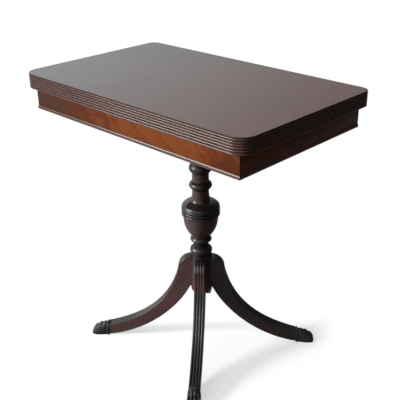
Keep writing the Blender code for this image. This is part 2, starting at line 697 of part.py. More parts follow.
def column_profile():
    """The column's half outline from the foot of its lower tenon to the top of its upper one."""
    base_bottom = DRUM_TOP + GAP
    waist_bottom = base_bottom + BASE_RING_HEIGHT
    foot_ring_bottom = waist_bottom + WAIST_HEIGHT
    urn_bottom = foot_ring_bottom + FOOT_RING_HEIGHT
    band_bottom = urn_bottom + URN_BODY_HEIGHT
    shoulder_bottom = band_bottom + URN_BANDS * URN_BAND_HEIGHT
    lower_neck_bottom = shoulder_bottom + URN_SHOULDER_HEIGHT
    middle_ring_bottom = lower_neck_bottom + LOWER_NECK_HEIGHT
    upper_neck_bottom = middle_ring_bottom + MIDDLE_RING_HEIGHT
    top_ring_bottom = upper_neck_bottom + UPPER_NECK_HEIGHT
    shaft_bottom = top_ring_bottom + TOP_RING_HEIGHT
    capital_top = RAIL_BOTTOM - GAP
    capital_bottom = capital_top - CAPITAL_HEIGHT
    collar_bottom = capital_bottom - COLLAR_HEIGHT

    points = [(0, DRUM_BOTTOM + LOWER_TENON_END), (LOWER_TENON_RADIUS, DRUM_BOTTOM + LOWER_TENON_END)]
    points.append((LOWER_TENON_RADIUS, base_bottom))
    points += bead(
        BASE_RING_RADIUS, BASE_SEAT_RADIUS, base_bottom, BASE_RING_HEIGHT, WAIST_RADIUS, RING_POWER
    )
    points += bead(
        FOOT_RING_RADIUS, WAIST_RADIUS, foot_ring_bottom, FOOT_RING_HEIGHT, URN_FOOT_RADIUS, RING_POWER
    )[:-1]
    for i in range(ARC_STEPS + 1):
        rise = i / ARC_STEPS
        radius = URN_RADIUS - (URN_RADIUS - URN_FOOT_RADIUS) * (1 - rise) ** URN_POWER
        points.append((radius, urn_bottom + URN_BODY_HEIGHT * rise))
    for band in range(URN_BANDS):
        ring = bead(URN_BAND_RADIUS, URN_RADIUS, band_bottom + band * URN_BAND_HEIGHT, URN_BAND_HEIGHT)
        points += ring[1:]
    neck_end = NECK_RADIUS + NECK_FLARE
    for i in range(ARC_STEPS + 1):
        angle = math.pi / 2 * i / ARC_STEPS
        radius = neck_end + (URN_SHOULDER_RADIUS - neck_end) * abs(math.cos(angle)) ** SHOULDER_POWER
        points.append((radius, shoulder_bottom + URN_SHOULDER_HEIGHT * math.sin(angle)))
    for share in (1 / 3, 2 / 3):
        radius = NECK_RADIUS + NECK_FLARE * (1 - share) ** 3
        points.append((radius, lower_neck_bottom + LOWER_NECK_HEIGHT * share))
    points += bead(
        MIDDLE_RING_RADIUS, NECK_RADIUS, middle_ring_bottom, MIDDLE_RING_HEIGHT, power=RING_POWER
    )
    points += bead(
        TOP_RING_RADIUS, NECK_RADIUS, top_ring_bottom, TOP_RING_HEIGHT, SHAFT_FOOT_RADIUS, RING_POWER
    )[:-1]
    points.append((SHAFT_FOOT_RADIUS, shaft_bottom + GAP))
    points.append((SHAFT_HEAD_RADIUS, collar_bottom - GAP))
    points += bead(COLLAR_RADIUS, SHAFT_HEAD_RADIUS, collar_bottom, COLLAR_HEIGHT)
    flare_top = capital_top - CAPITAL_EDGE
    for i in range(1, ARC_STEPS + 1):
        angle = math.pi / 2 * i / ARC_STEPS
        radius = SHAFT_HEAD_RADIUS + (CAPITAL_RADIUS - SHAFT_HEAD_RADIUS) * (1 - math.cos(angle))
        points.append((radius, capital_bottom + (flare_top - capital_bottom) * math.sin(angle)))
    points.append((CAPITAL_RADIUS, capital_top))
    points.append((UPPER_TENON_RADIUS, capital_top))
    tenon_top = COLUMN_RAIL_TOP - UPPER_TENON_SHORT
    return points + [(UPPER_TENON_RADIUS, tenon_top), (0, tenon_top)]


def dovetail(clearance, bottom, top):
    """The tail on a leg, or the slot for one, in the leg's own frame with X outwards."""
    out = LEG_SEAT + DOVETAIL_OVERLAP
    root = DRUM_RADIUS - DOVETAIL_DEPTH - clearance
    neck_half = DOVETAIL_NECK / 2 + clearance
    root_half = DOVETAIL_ROOT / 2 + clearance
    outline = ((out, -neck_half), (out, neck_half), (root, root_half), (root, -root_half))
    return prism(outline, bottom, top)


def tail_heights():
    return LEG_CROTCH + DOVETAIL_FOOT_MARGIN, LEG_TOP - DOVETAIL_HEAD_MARGIN


def make_pedestal(wood, iron, base):
    bolt_hole_top = DRUM_BOTTOM + BOLT_LENGTH + GAP
    bolt_hole = cylinder(
        BOLT_RADIUS + GAP,
        (COLUMN_X, 0, DRUM_BOTTOM - PLATE_THICKNESS - BOLT_HEAD_HEIGHT),
        (COLUMN_X, 0, bolt_hole_top),
        TURNED_SEGMENTS,
    )
    column = combined(turned(column_profile(), COLUMN_AXIS), [bolt_hole])
    add_piece("column", column, wood, base)

    drum_profile = [(0, DRUM_TOP), (DRUM_RADIUS, DRUM_TOP), (DRUM_RADIUS, DRUM_BOTTOM + DRUM_ROUND)]
    for i in range(1, ARC_STEPS + 1):
        angle = math.pi / 2 * i / ARC_STEPS
        radius = DRUM_RADIUS - DRUM_ROUND * (1 - math.cos(angle))
        drum_profile.append((radius, DRUM_BOTTOM + DRUM_ROUND * (1 - math.sin(angle))))
    drum_profile.append((0, DRUM_BOTTOM))
    bore = cylinder(
        LOWER_TENON_RADIUS + GAP,
        (COLUMN_X, 0, DRUM_BOTTOM - DRUM_ROUND),
        (COLUMN_X, 0, DRUM_TOP + DRUM_ROUND),
        TURNED_SEGMENTS,
    )
    slots = []
    for turn in leg_turns():
        slot = dovetail(GAP, DRUM_BOTTOM - DRUM_ROUND, tail_heights()[1] + GAP)
        slot.transform(Matrix.Translation(COLUMN_AXIS) @ Matrix.Rotation(turn, 4, "Z"))
        slots.append(slot)
    add_piece("drum", combined(turned(drum_profile, COLUMN_AXIS), [bore, *slots]), wood, base)

    plate_top = DRUM_BOTTOM - GAP
    plate_bottom = plate_top - PLATE_THICKNESS
    hole = BOLT_RADIUS + GAP
    plate_profile = [
        (hole, plate_top),
        (PLATE_RADIUS, plate_top),
        (PLATE_RADIUS, plate_bottom),
        (hole, plate_bottom),
        (hole, plate_top),
    ]
    add_piece("drum_plate", turned(plate_profile, COLUMN_AXIS), iron, base)
    head_top = plate_bottom - GAP
    bolt_profile = [
        (0, DRUM_BOTTOM + BOLT_LENGTH),
        (BOLT_RADIUS, DRUM_BOTTOM + BOLT_LENGTH),
        (BOLT_RADIUS, head_top),
        (BOLT_HEAD_RADIUS, head_top),
        (BOLT_HEAD_RADIUS, head_top - BOLT_HEAD_HEIGHT),
        (0, head_top - BOLT_HEAD_HEIGHT),
    ]
    add_piece("drum_bolt", turned(bolt_profile, COLUMN_AXIS, SMALL_SEGMENTS), iron, base)


def leg_turns():
    return [LEG_TURN + math.tau * i / len(LEG_NAMES) for i in range(len(LEG_NAMES))]


def leg_ring(upper, lower, reed, hug):
    """One section of the leg: across the underside, then back over the reeded upper face.

    upper and lower are (distance out, height); hug is 1 where the underside is shaped to the drum.
    """
    away = (upper - lower).normalized()
    ring = []
    for i in range(LEG_UNDER_STEPS + 1):
        y = LEG_WIDTH * (i / LEG_UNDER_STEPS - 0.5)
        hollow = hug * (LEG_SEAT - math.sqrt(LEG_SEAT**2 - y**2))
        ring.append((lower.x - hollow, y, lower.y))
    steps = LEG_REEDS * LEG_REED_STEPS
    for i in range(steps + 1):
        swell = abs(math.sin(math.pi * LEG_REEDS * i / steps))
        point = upper - away * reed * (1 - swell)
        ring.append((point.x, LEG_WIDTH * (0.5 - i / steps), point.y))
    return ring


def leg_ends():
    """The ends of the leg's upper and lower edges, from the drum to the toe cap."""
    shoulder = Vector((DRUM_RADIUS + SHOULDER_REACH, LEG_TOP - SHOULDER_DROP))
    crotch = Vector((LEG_SEAT, LEG_CROTCH))
    return (shoulder, Vector((LEG_END, LEG_END_TOP))), (crotch, Vector((LEG_END, LEG_END_UNDERSIDE)))


def tenon_ring(out):
    """The section of the tenon that the leg puts into its toe cap."""
    middle = (LEG_END_TOP + LEG_END_UNDERSIDE) / 2
    half_height = (LEG_END_TOP - LEG_END_UNDERSIDE) / 2
    full = leg_ring(Vector((out, LEG_END_TOP)), Vector((out, LEG_END_UNDERSIDE)), 0, 0)
    narrow = 1 - 2 * TENON_SHOULDER / LEG_WIDTH
    low = 1 - TENON_SHOULDER / half_height
    return [(x, y * narrow, middle + (z - middle) * low) for x, y, z in full]


def leg_mesh():
    """One leg in its own frame: X outwards from the column's axis, Z up from the floor."""
    upper_ends, lower_ends = leg_ends()
    shoulder, crotch = upper_ends[0], lower_ends[0]
    rings = []
    for i in range(SHOULDER_STATIONS, 0, -1):
        share = i / SHOULDER_STATIONS
        angle = math.pi / 2 * share
        back = Vector((SHOULDER_ROUND * (math.cos(angle) - 1), SHOULDER_DROP * math.sin(angle)))
        inner_top = LEG_TOP - (LEG_TOP - shoulder.y) / SHOULDER_STATIONS
        inner = Vector((LEG_SEAT, crotch.y + (inner_top - crotch.y) * share))
        rings.append(leg_ring(shoulder + back, inner, LEG_REED_DEPTH * max(0, 1 - 2 * share), 1))
    for i in range(LEG_STATIONS + 1):
        share = i / LEG_STATIONS
        upper = bezier(upper_ends, UPPER_HANDLES, share)
        lower = bezier(lower_ends, LOWER_HANDLES, share)
        rings.append(leg_ring(upper, lower, LEG_REED_DEPTH, 1 if i == 0 else 0))
    rings.append(tenon_ring(LEG_END))
    rings.append(tenon_ring(LEG_END + TENON_LENGTH))
    tail = dovetail(0, *tail_heights())
    return combined(lofted(rings), [screw_hole(toe_screw_place(), 1)], [tail])


def toe_screw_place():
    """Where the screw that holds a toe cap starts, in its sole under the leg's tenon."""
    return Vector((LEG_END + TENON_LENGTH / 2, 0, TOE_SCREW_RECESS))


def toe_cap_mesh():
    """A cast paw with a raised collar, four toes and a socket for the leg's tenon."""
    rings = []
    for along, width, height, furrow in TOE_SECTIONS:
        out = LEG_END + GAP + (TOE_LENGTH - GAP) * along
        half = TOE_WIDTH / 2 * width
        ring = []
        for i in range(TOE_STEPS + 1):
            angle = math.pi * i / TOE_STEPS
            y = half * math.copysign(abs(math.cos(angle)) ** TOE_BOXINESS, math.cos(angle))
            crease = abs(math.cos(math.pi * TOE_COUNT * (y / half + 1) / 2))
            z = TOE_HEIGHT * height * math.sin(angle) ** TOE_BOXINESS
            ring.append((out, y, max(0.0, z * (1 - TOE_GROOVE * furrow * crease))))
        rings.append(ring)
    socket_half = LEG_WIDTH / 2 - TENON_SHOULDER + GAP
    socket = box(
        (LEG_END - GAP, -socket_half, LEG_END_UNDERSIDE + TENON_SHOULDER - GAP),
        (LEG_END + TENON_LENGTH + GAP, socket_half, LEG_END_TOP - TENON_SHOULDER + GAP),
    )
    sole_hole = screw_hole(toe_screw_place(), 1, 2 * TOE_SCREW_RECESS)
    return combined(lofted(rings), [socket, sole_hole])


def make_legs(wood, bronze, iron, pedestal):
    leg = leg_mesh()
    cap = toe_cap_mesh()
    fixing = screw(toe_screw_place(), 1)
    for name, turn in zip(LEG_NAMES, leg_turns()):
        add_piece(f"leg_{name}", leg, wood, pedestal, turn)
        add_piece(f"toe_cap_{name}", cap, bronze, pedestal, turn)
        add_piece(f"toe_screw_{name}", fixing, iron, pedestal, turn)


def main():
    clear_scene()
    top_wood = finish_material("polished mahogany", (0.100, 0.042, 0.028), 0.25)
    veneer = finish_material("figured veneer", (0.250, 0.085, 0.030), 0.35)
    dark_wood = finish_material("dark mahogany", (0.045, 0.018, 0.014), 0.30)
    plain_wood = finish_material("secondary wood", (0.330, 0.210, 0.110), 0.65)
    brass = finish_material("aged brass", (0.450, 0.300, 0.100), 0.35, 1.0)
    iron = finish_material("dark iron", (0.090, 0.085, 0.080), 0.50, 1.0)
    bronze = finish_material("patinated bronze", (0.035, 0.040, 0.036), 0.45, 0.8)

    pedestal = axis_empty("pedestal_axis", COLUMN_AXIS)
    swivel = axis_empty("swivel_axis", PIVOT)
    flip = axis_empty("flip_axis", FLIP_AXIS, swivel)

    make_leaves(top_wood, swivel, flip)
    make_hinges(brass, swivel, flip)
    make_pivot(iron, swivel)
    make_rails(veneer, pedestal)
    make_beads(top_wood, pedestal)
    make_corner_blocks(plain_wood, pedestal)
    make_cross_members(plain_wood, pedestal)
    make_pedestal(dark_wood, iron, pedestal)
    make_legs(dark_wood, bronze, iron, pedestal)


main()
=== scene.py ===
import json
import math

import bmesh
import bpy
from bmesh.types import BMEdge, BMVert
from bpy.props import FloatProperty, FloatVectorProperty, IntProperty, PointerProperty
from mathutils import Matrix, Vector


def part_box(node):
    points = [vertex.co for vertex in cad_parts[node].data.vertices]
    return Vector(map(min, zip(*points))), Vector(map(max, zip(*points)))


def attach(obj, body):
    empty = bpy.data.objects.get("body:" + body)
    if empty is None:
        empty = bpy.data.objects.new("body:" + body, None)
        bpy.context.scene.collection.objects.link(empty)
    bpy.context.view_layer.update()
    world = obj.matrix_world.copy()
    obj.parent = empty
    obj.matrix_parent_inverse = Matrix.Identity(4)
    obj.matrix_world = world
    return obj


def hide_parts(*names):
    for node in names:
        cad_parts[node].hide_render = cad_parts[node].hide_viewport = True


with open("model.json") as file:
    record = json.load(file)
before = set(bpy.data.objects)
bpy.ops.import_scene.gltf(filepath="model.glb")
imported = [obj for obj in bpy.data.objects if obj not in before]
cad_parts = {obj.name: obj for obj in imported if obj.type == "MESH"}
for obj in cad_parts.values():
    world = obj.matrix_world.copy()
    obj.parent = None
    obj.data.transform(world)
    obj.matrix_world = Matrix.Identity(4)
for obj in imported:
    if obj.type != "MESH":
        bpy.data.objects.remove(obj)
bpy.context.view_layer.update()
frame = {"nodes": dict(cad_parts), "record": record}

bl_info = {
    "name": "Flip-top Game Table",
    "version": (1, 0, 0),
    "blender": (4, 5, 0),
    "location": "3D View > Sidebar > Game Table",
    "description": "Dresses the packed table with turned, reeded and polished pieces",
    "category": "Object",
}

BEHAVIOUR = frame["record"]["behaviour"]
BODY_OF = {node: body for body, nodes in BEHAVIOUR["bodies"].items() for node in nodes}
JOINT_PLACE = {joint["name"]: Vector(joint["pos_m"]) for joint in BEHAVIOUR["joints"]}
NODE_ORDER = sorted(BODY_OF)

# Legs, rails and beads by quarter turns from the front one
SIDE_NAMES = ("front", "right", "back", "left")
CORNER_NAMES = ("front_left", "front_right", "back_left", "back_right")
HINGE_SIDES = ("left", "right")

# Clearance between pieces, and what counts as one point, a flush face or a sharp edge
FIT = 0.0003
WELD = 1e-5
FLUSH = math.radians(1)
SHARP = math.radians(34)

# Widths of eased edges
SOFT_EDGE = 0.0006
RAIL_EDGE = 0.0003
PIN_EDGE = 0.0002
PLATE_EDGE = 0.00015
SCREW_EDGE = 0.00015
SWIVEL_EDGE = 0.0003
BOLT_EDGE = 0.0004
WELL_EDGE = 0.0003

# How finely round shapes are divided
TURN_STEPS = 96
ARC_STEPS = 12
CORNER_STEPS = 16
EDGE_STEPS = 2
ROD_STEPS = 32
SCREW_STEPS = 24

# Slotted screws: the rim round the slot and half the slot's width as shares of the head's radius, its depth
# as a share of the head's height, the angle from one screw's slot to the next, and how many angles there are
HEAD_RIM = 0.1
SLOT_HALF = 0.13
SLOT_DEPTH = 0.4
SCREW_TURN = 0.6
SCREW_TURNS = 5

# How pale the stain is, from 0 to 1: painted light on the legs' sides, strong on the left leg and faint on
# the right; worn stain beside the drum and on the column; worn stain and painted light together on the drum
LEGS_PAINTED_LIGHT = {"left": 1.0, "right": 0.15}
REED_FADED = 0.8
COLUMN_FADED = 0.5
DRUM_WEAR_AND_LIGHT = 1.0

# Height above and below the drum's middle at which the wear on the reeds ends
REED_FADED_BAND = 0.042

# Legs whose reeds are darkened with painted shade and a duller polish, how strong that is, and the height
# above the toe cap over which it comes in
SHADED_REED_LEGS = ("left", "right")
REED_SHADE = 0.5
REED_SHADE_RISE = 0.03

# How far the wood's pattern shifts from one piece to the next, along X, Y and Z
GRAIN_SHIFT = (0.73, 0.41, 0.29)


def middle_of(node):
    """The middle of a CAD node's box."""
    low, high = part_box(node)
    return (low + high) / 2


COLUMN_AXIS = Vector((middle_of("column").x, middle_of("column").y, 0))


def length(name, description, default):
    """A property for a length in metres."""
    return FloatProperty(
        name=name, description=description, default=default, min=0, unit="LENGTH", precision=4
    )


def share(name, description, default):
    """A property for a share of a whole."""
    return FloatProperty(name=name, description=description, default=default, min=0, max=1, subtype="FACTOR")


def strength(name, description, default):
    """A property for a lamp's strength."""
    return FloatProperty(name=name, description=description, default=default, min=0)


def angle(name, description, degrees):
    """A property for an angle, with its default in degrees."""
    return FloatProperty(name=name, description=description, default=math.radians(degrees), unit="ROTATION")


def number(name, description, default):
    """A property for a number of like things."""
    return IntProperty(name=name, description=description, default=default, min=1)


def spot(name, description, default):
    """A property for a point in metres."""
    return FloatVectorProperty(
        name=name, description=description, default=default, subtype="TRANSLATION", unit="LENGTH"
    )


def colour(name, description, default):
    """A property for a linear colour."""
    return FloatVectorProperty(
        name=name, description=description, default=default, size=3, min=0, max=1, subtype="COLOR"
    )


class TopSettings(bpy.types.PropertyGroup):
    reeds: number("Reeds", "Reeds round the edge of each leaf", 3)
    reed_depth: length("Reed depth", "Depth of the grooves beside the reeds", 0.0018)
    quirk: length("Quirk", "Height of the sunk flat over each reed", 0.0021)
    fillet: length("Fillet", "Height of the flat band along the top's upper edge", 0.0014)
    front_corner: length("Front corner", "Radius of the leaves' front corners", 0.038)
    back_corner: length("Back corner", "Radius of the leaves' hinged corners", 0.022)
    reed_stop: length("Reed stop", "Length over which the reeding ends at the hinged edge", 0.001)
    plate_thickness: length("Hinge plate", "Thickness of the hinge plates", 0.0016)
    barrel: length("Barrel radius", "Radius of the hinge knuckles", 0.003)
    screw_head: length("Screw head", "Radius of the screw heads", 0.003)
    screw_sink: length("Screw sink", "Height of the countersunk heads", 0.0015)
    screw_shank: length("Screw shank", "Radius of the screw shanks", 0.0013)


class ApronSettings(bpy.types.PropertyGroup):
    bead_projection: length("Bead projection", "How far the cock bead stands out from the apron", 0.0012)


class ColumnSettings(bpy.types.PropertyGroup):
    tenon_radius: length("Lower tenon", "Radius of the tenon in the drum", 0.012)
    upper_tenon_radius: length("Upper tenon", "Radius of the tenon in the rail", 0.016)
    base_seat: length("Base seat", "Radius where the base ring stands on the drum", 0.0270)
    base_ring: length("Base ring", "Radius of the ring on the drum", 0.0295)
    base_ring_height: length("Base ring height", "Height of the ring on the drum", 0.0258)
    waist: length("Waist", "Radius of the hollow over the base ring", 0.0182)
    waist_height: length("Waist height", "Height of the hollow over the base ring", 0.0096)
    foot_ring: length("Foot ring", "Radius of the ring under the urn", 0.0284)
    foot_ring_height: length("Foot ring height", "Height of the ring under the urn", 0.0177)
    urn_foot: length("Urn foot", "Radius at the bottom of the urn", 0.0218)
    urn: length("Urn", "Radius at the top of the urn's body", 0.0459)
    urn_height: length("Urn height", "Height of the urn's body", 0.0631)
    bands: number("Bands", "Rings round the urn", 3)
    band: length("Band", "Radius of the rings round the urn", 0.0504)
    band_height: length("Band height", "Height of each ring round the urn", 0.0080)
    urn_shoulder: length("Urn shoulder", "Radius at the bottom of the urn's shoulder", 0.0497)
    urn_shoulder_height: length("Shoulder height", "Height of the urn's shoulder", 0.0160)
    neck: length("Neck", "Radius of the two necks", 0.0217)
    neck_flare: length("Neck flare", "How much the lower neck widens at its foot", 0.0052)
    lower_neck_height: length("Lower neck height", "Height of the neck over the urn", 0.0335)
    middle_ring: length("Middle ring", "Radius of the ring between the necks", 0.0299)
    middle_ring_height: length("Middle ring height", "Height of the ring between the necks", 0.0215)
    upper_neck_height: length("Upper neck height", "Height of the neck under the top ring", 0.0238)
    top_ring: length("Top ring", "Radius of the ring under the apron", 0.0297)
    top_ring_height: length("Top ring height", "Height of the ring under the apron", 0.0221)
    shaft_foot: length("Shaft foot", "Radius of the shaft at its bottom", 0.0262)
    shaft_head: length("Shaft head", "Radius of the shaft at its top", 0.0235)
    collar: length("Collar", "Radius of the ring under the capital", 0.029)
    collar_height: length("Collar height", "Height of the ring under the capital", 0.009)
    capital: length("Capital", "Radius of the capital", 0.048)
    capital_height: length("Capital height", "Height of the capital", 0.026)
    capital_edge: length("Capital edge", "Height of the capital's upright edge", 0.008)
    drum_round: length("Drum round", "Radius of the drum's lower edge", 0.014)


class LegSettings(bpy.types.PropertyGroup):
    turn: angle("Turn", "Direction of the front leg from +X", -50.6)
    width: length("Width", "Width of each leg", 0.0290)
    arris: length("Arris", "Radius of the lower edges", 0.0022)
    reeds: number("Reeds", "Reeds on each leg's upper face", 4)
    reed_depth: length("Reed depth", "Depth of the grooves between the reeds", 0.0020)
    end: length("End", "Distance from the column's axis to the toe cap", 0.263)
    end_top: length("End top", "Height of the upper face at the toe cap", 0.0322)
    end_underside: length("End underside", "Height of the underside at the toe cap", 0.0012)
    top_drop: length("Top drop", "Leg's top below the drum's top", 0.0070)
    crotch_rise: length("Crotch rise", "Underside at the drum, above the drum's bottom", 0.026)
    shoulder_reach: length("Shoulder reach", "How far the shoulder stands out from the drum", 0.0344)
    shoulder_drop: length("Shoulder drop", "Height of the shoulder's round", 0.0363)
    shoulder_round: length("Shoulder round", "Depth of the shoulder's round", 0.0325)


class ToeSettings(bpy.types.PropertyGroup):
    cap_length: length("Length", "Length of the cast cap", 0.050)
    lip_side: length("Side lip", "Cap wider than the leg, on each side", 0.0035)
    lip_top: length("Top lip", "Cap higher than the leg's end", 0.0045)
    toes: number("Toes", "Toes on each cap", 4)
    furrow: share("Furrow", "Depth of the furrows between the toes", 0.24)
    knuckles: number("Knuckles", "Knuckles along each toe", 3)
    knuckle: share("Knuckle", "Depth of the creases between the knuckles", 0.18)
    boxiness: share("Boxiness", "Power of the cap's section, lower is squarer", 0.62)


class FinishSettings(bpy.types.PropertyGroup):
    top_brown: colour("Top brown", "Body colour of the polished top", (0.113, 0.034, 0.023))
    top_dark: colour("Top dark", "Streaks in the polished top", (0.060, 0.021, 0.015))
    edge_brown: colour("Edge brown", "Worn reeds round the edge of the top", (0.095, 0.031, 0.018))
    veneer_light: colour("Veneer light", "Bright figure in the apron veneer", (0.260, 0.066, 0.016))
    veneer_red: colour("Veneer red", "Body colour of the apron veneer", (0.135, 0.027, 0.008))
    veneer_dark: colour("Veneer dark", "Dark figure in the apron veneer", (0.072, 0.028, 0.015))
    base_brown: colour("Base brown", "Body colour of the column and legs", (0.017, 0.0105, 0.0105))
    base_red: colour("Base red", "Worn red places on the column and legs", (0.042, 0.0165, 0.0140))
    # Pale worn wood, also the colour of the painted light on the legs' sides and the drum
    base_faded: colour("Base faded", "Wood where the stain has worn thin", (0.122, 0.053, 0.050))
    # Black of the old polish in the pores, also the colour of the painted shade in grooves, hollows, under
    # the legs and at the leaves' ends
    base_black: colour("Base black", "Old polish in the hollows", (0.012, 0.007, 0.006))
    plain_light: colour("Plain wood light", "Early wood of the hidden boards", (0.360, 0.230, 0.120))
    plain_dark: colour("Plain wood dark", "Late wood of the hidden boards", (0.250, 0.145, 0.070))
    brass: colour("Brass", "Clean brass of the hinges", (0.500, 0.330, 0.110))
    tarnish: colour("Tarnish", "Tarnish on the brass", (0.160, 0.095, 0.040))
    iron: colour("Iron", "Dark iron of the swivel and bolt", (0.090, 0.085, 0.080))
    rust: colour("Rust", "Rust in the iron's hollows", (0.085, 0.040, 0.022))
    bronze: colour("Bronze", "Dark patina of the toe caps", (0.028, 0.029, 0.026))
    bronze_rubbed: colour("Rubbed bronze", "Rubbed crests of the toe caps", (0.085, 0.085, 0.072))


class StageSettings(bpy.types.PropertyGroup):
    viewpoint: spot("Viewpoint", "Where the camera stands", (1.15637, -1.1729, 1.19945))
    aim: spot("Aim", "Point in the middle of the view", (0.00742, 0.01512, 0.41368))
    roll: angle("Roll", "Turn of the camera about its line of sight", -0.595)
    lens: FloatProperty(
        name="Lens", description="Focal length in millimetres", default=62.815, min=1, unit="CAMERA"
    )
    key_from: FloatVectorProperty(
        name="Key from",
        description="Direction that both lamps shine from",
        default=(-0.513, -0.760, 0.345),
        subtype="DIRECTION",
    )
    key_strength: strength("Key strength", "Strength of the lamp that makes the shadows", 2.3)
    gloss_strength: strength("Gloss strength", "Strength of the lamp that the polish mirrors", 3.0)
    key_spread: angle("Key spread", "Angle across the lamp that makes the shadows", 11)
    gloss_spread: angle("Gloss spread", "Angle across the lamp that the polish mirrors", 38)
    sky_bright: colour("Sky bright", "Studio light on the window side", (0.88, 0.95, 0.97))
    sky_dim: colour("Sky dim", "Studio light on the far side", (0.06, 0.058, 0.06))
    floor_tone: share("Floor tone", "Share of light that the floor returns near the feet", 0.60)
    floor_lift: share("Floor lift", "White that the floor keeps in shadow", 0.58)


class TableSettings(bpy.types.PropertyGroup):
    top: PointerProperty(type=TopSettings)
    apron: PointerProperty(type=ApronSettings)
    column: PointerProperty(type=ColumnSettings)
    legs: PointerProperty(type=LegSettings)
    toes: PointerProperty(type=ToeSettings)
    finishes: PointerProperty(type=FinishSettings)
    stage: PointerProperty(type=StageSettings)


class Wire:
    """A socket's value in an expression, where each operation adds a Math node."""

    def __init__(self, tree, socket):
        self.tree = tree
        self.socket = socket

    def __add__(self, other):
        return self.tree.math("ADD", self, other)

    def __radd__(self, other):
        return self.tree.math("ADD", other, self)

    def __sub__(self, other):
        return self.tree.math("SUBTRACT", self, other)

    def __rsub__(self, other):
        return self.tree.math("SUBTRACT", other, self)

    def __mul__(self, other):
        return self.tree.math("MULTIPLY", self, other)

    def __rmul__(self, other):
        return self.tree.math("MULTIPLY", other, self)

    def __abs__(self):
        return self.tree.math("ABSOLUTE", self)


# Places of a Mix node's factor, its two colours and the colour that comes out
MIX_FACTOR, MIX_FIRST, MIX_SECOND, MIX_RESULT = 0, 6, 7, 2


class ShaderTree:
    """The node tree of a material or the world, filled by expressions."""

    def __init__(self, owner):
        owner.use_nodes = True
        self.tree = owner.node_tree
        self.tree.nodes.clear()

    def add(self, kind, settings=None, sockets=None):
        """Add a node: its settings first, then its sockets' values or links."""
        node = self.tree.nodes.new(kind)
        for name, value in (settings or {}).items():
            setattr(node, name, value)
        for name, value in (sockets or {}).items():
            self.feed(node.inputs[name], value)
        return node

    def node(self, kind, settings=None, sockets=None, output=0):
        """Add a node and give back one of its outputs."""
        return Wire(self, self.add(kind, settings, sockets).outputs[output])

    def feed(self, socket, value):
        """Link a wire to a socket, or set the socket's own value."""
        if isinstance(value, Wire):
            self.tree.links.new(value.socket, socket)
        elif socket.type == "RGBA":
            socket.default_value = (*value[:3], 1)
        else:
            socket.default_value = value

    def math(self, operation, *values):
        return self.node("ShaderNodeMath", {"operation": operation}, dict(enumerate(values)))

    def mix(self, part, first, second):
        """A colour that goes from the first to the second as part goes from 0 to 1."""
        settings = {"data_type": "RGBA", "clamp_factor": True}
        sockets = {MIX_FACTOR: part, MIX_FIRST: first, MIX_SECOND: second}
        return self.node("ShaderNodeMix", settings, sockets, MIX_RESULT)

    def vector_math(self, operation, first, second, output):
        return self.node("ShaderNodeVectorMath", {"operation": operation}, {0: first, 1: second}, output)

    def along(self, vector, direction):
        """How far a vector reaches along a direction."""
        return self.vector_math("DOT_PRODUCT", vector, direction, "Value")

    def part(self, vector, axis):
        """The X, Y or Z of a vector."""
        return self.node("ShaderNodeSeparateXYZ", None, {0: vector}, axis)

    def noise(self, vector, factors, detail=2.0, roughness=0.5, distortion=0.0):
        """Soft noise from 0 to 1 with so many waves a metre along each axis."""
        sockets = {
            "Vector": self.vector_math("MULTIPLY", vector, factors, "Vector"),
            "Scale": 1.0,
            "Detail": detail,
            "Roughness": roughness,
            "Distortion": distortion,
        }
        return self.node("ShaderNodeTexNoise", None, sockets)

    def ease(self, value, low, high):
        """0 below low and 1 above high, with a smooth step between."""
        sockets = {"Value": value, "From Min": low, "From Max": high, "To Min": 0.0, "To Max": 1.0}
        return self.node("ShaderNodeMapRange", {"interpolation_type": "SMOOTHSTEP"}, sockets)

    def attribute(self, name, output="Fac"):
        """What a piece's points keep under a name."""
        return self.node("ShaderNodeAttribute", {"attribute_name": name}, output=output)

    def grain(self):
        """Places in the wood, whose grain runs along X."""
        return self.attribute("grain", "Vector")

    def place(self):
        """Places in the table's own frame."""
        return self.node("ShaderNodeTexCoord", output="Object")

    def bump(self, height, distance):
        """A normal roughened by a height from 0 to 1, with its full height in metres."""
        return self.node("ShaderNodeBump", None, {"Height": height, "Distance": distance})

    def white_glow(self, brightness):
        """Even white light that a surface gives off by itself."""
        return self.node("ShaderNodeEmission", None, {"Color": (1, 1, 1), "Strength": brightness})

    def output(self, shader, kind="ShaderNodeOutputMaterial"):
        self.add(kind, None, {"Surface": shader})

    def principled(self, **sockets):
        """End the tree in a Principled shader; socket names have underscores for spaces."""
        named = {name.replace("_", " "): value for name, value in sockets.items()}
        self.output(self.node("ShaderNodeBsdfPrincipled", None, named))


def painted(finish, settings):
    """The material named after a finish function, which fills its tree the first time."""
    name = finish.__name__
    if name not in bpy.data.materials:
        finish(ShaderTree(bpy.data.materials.new(name)), settings)
    return bpy.data.materials[name]


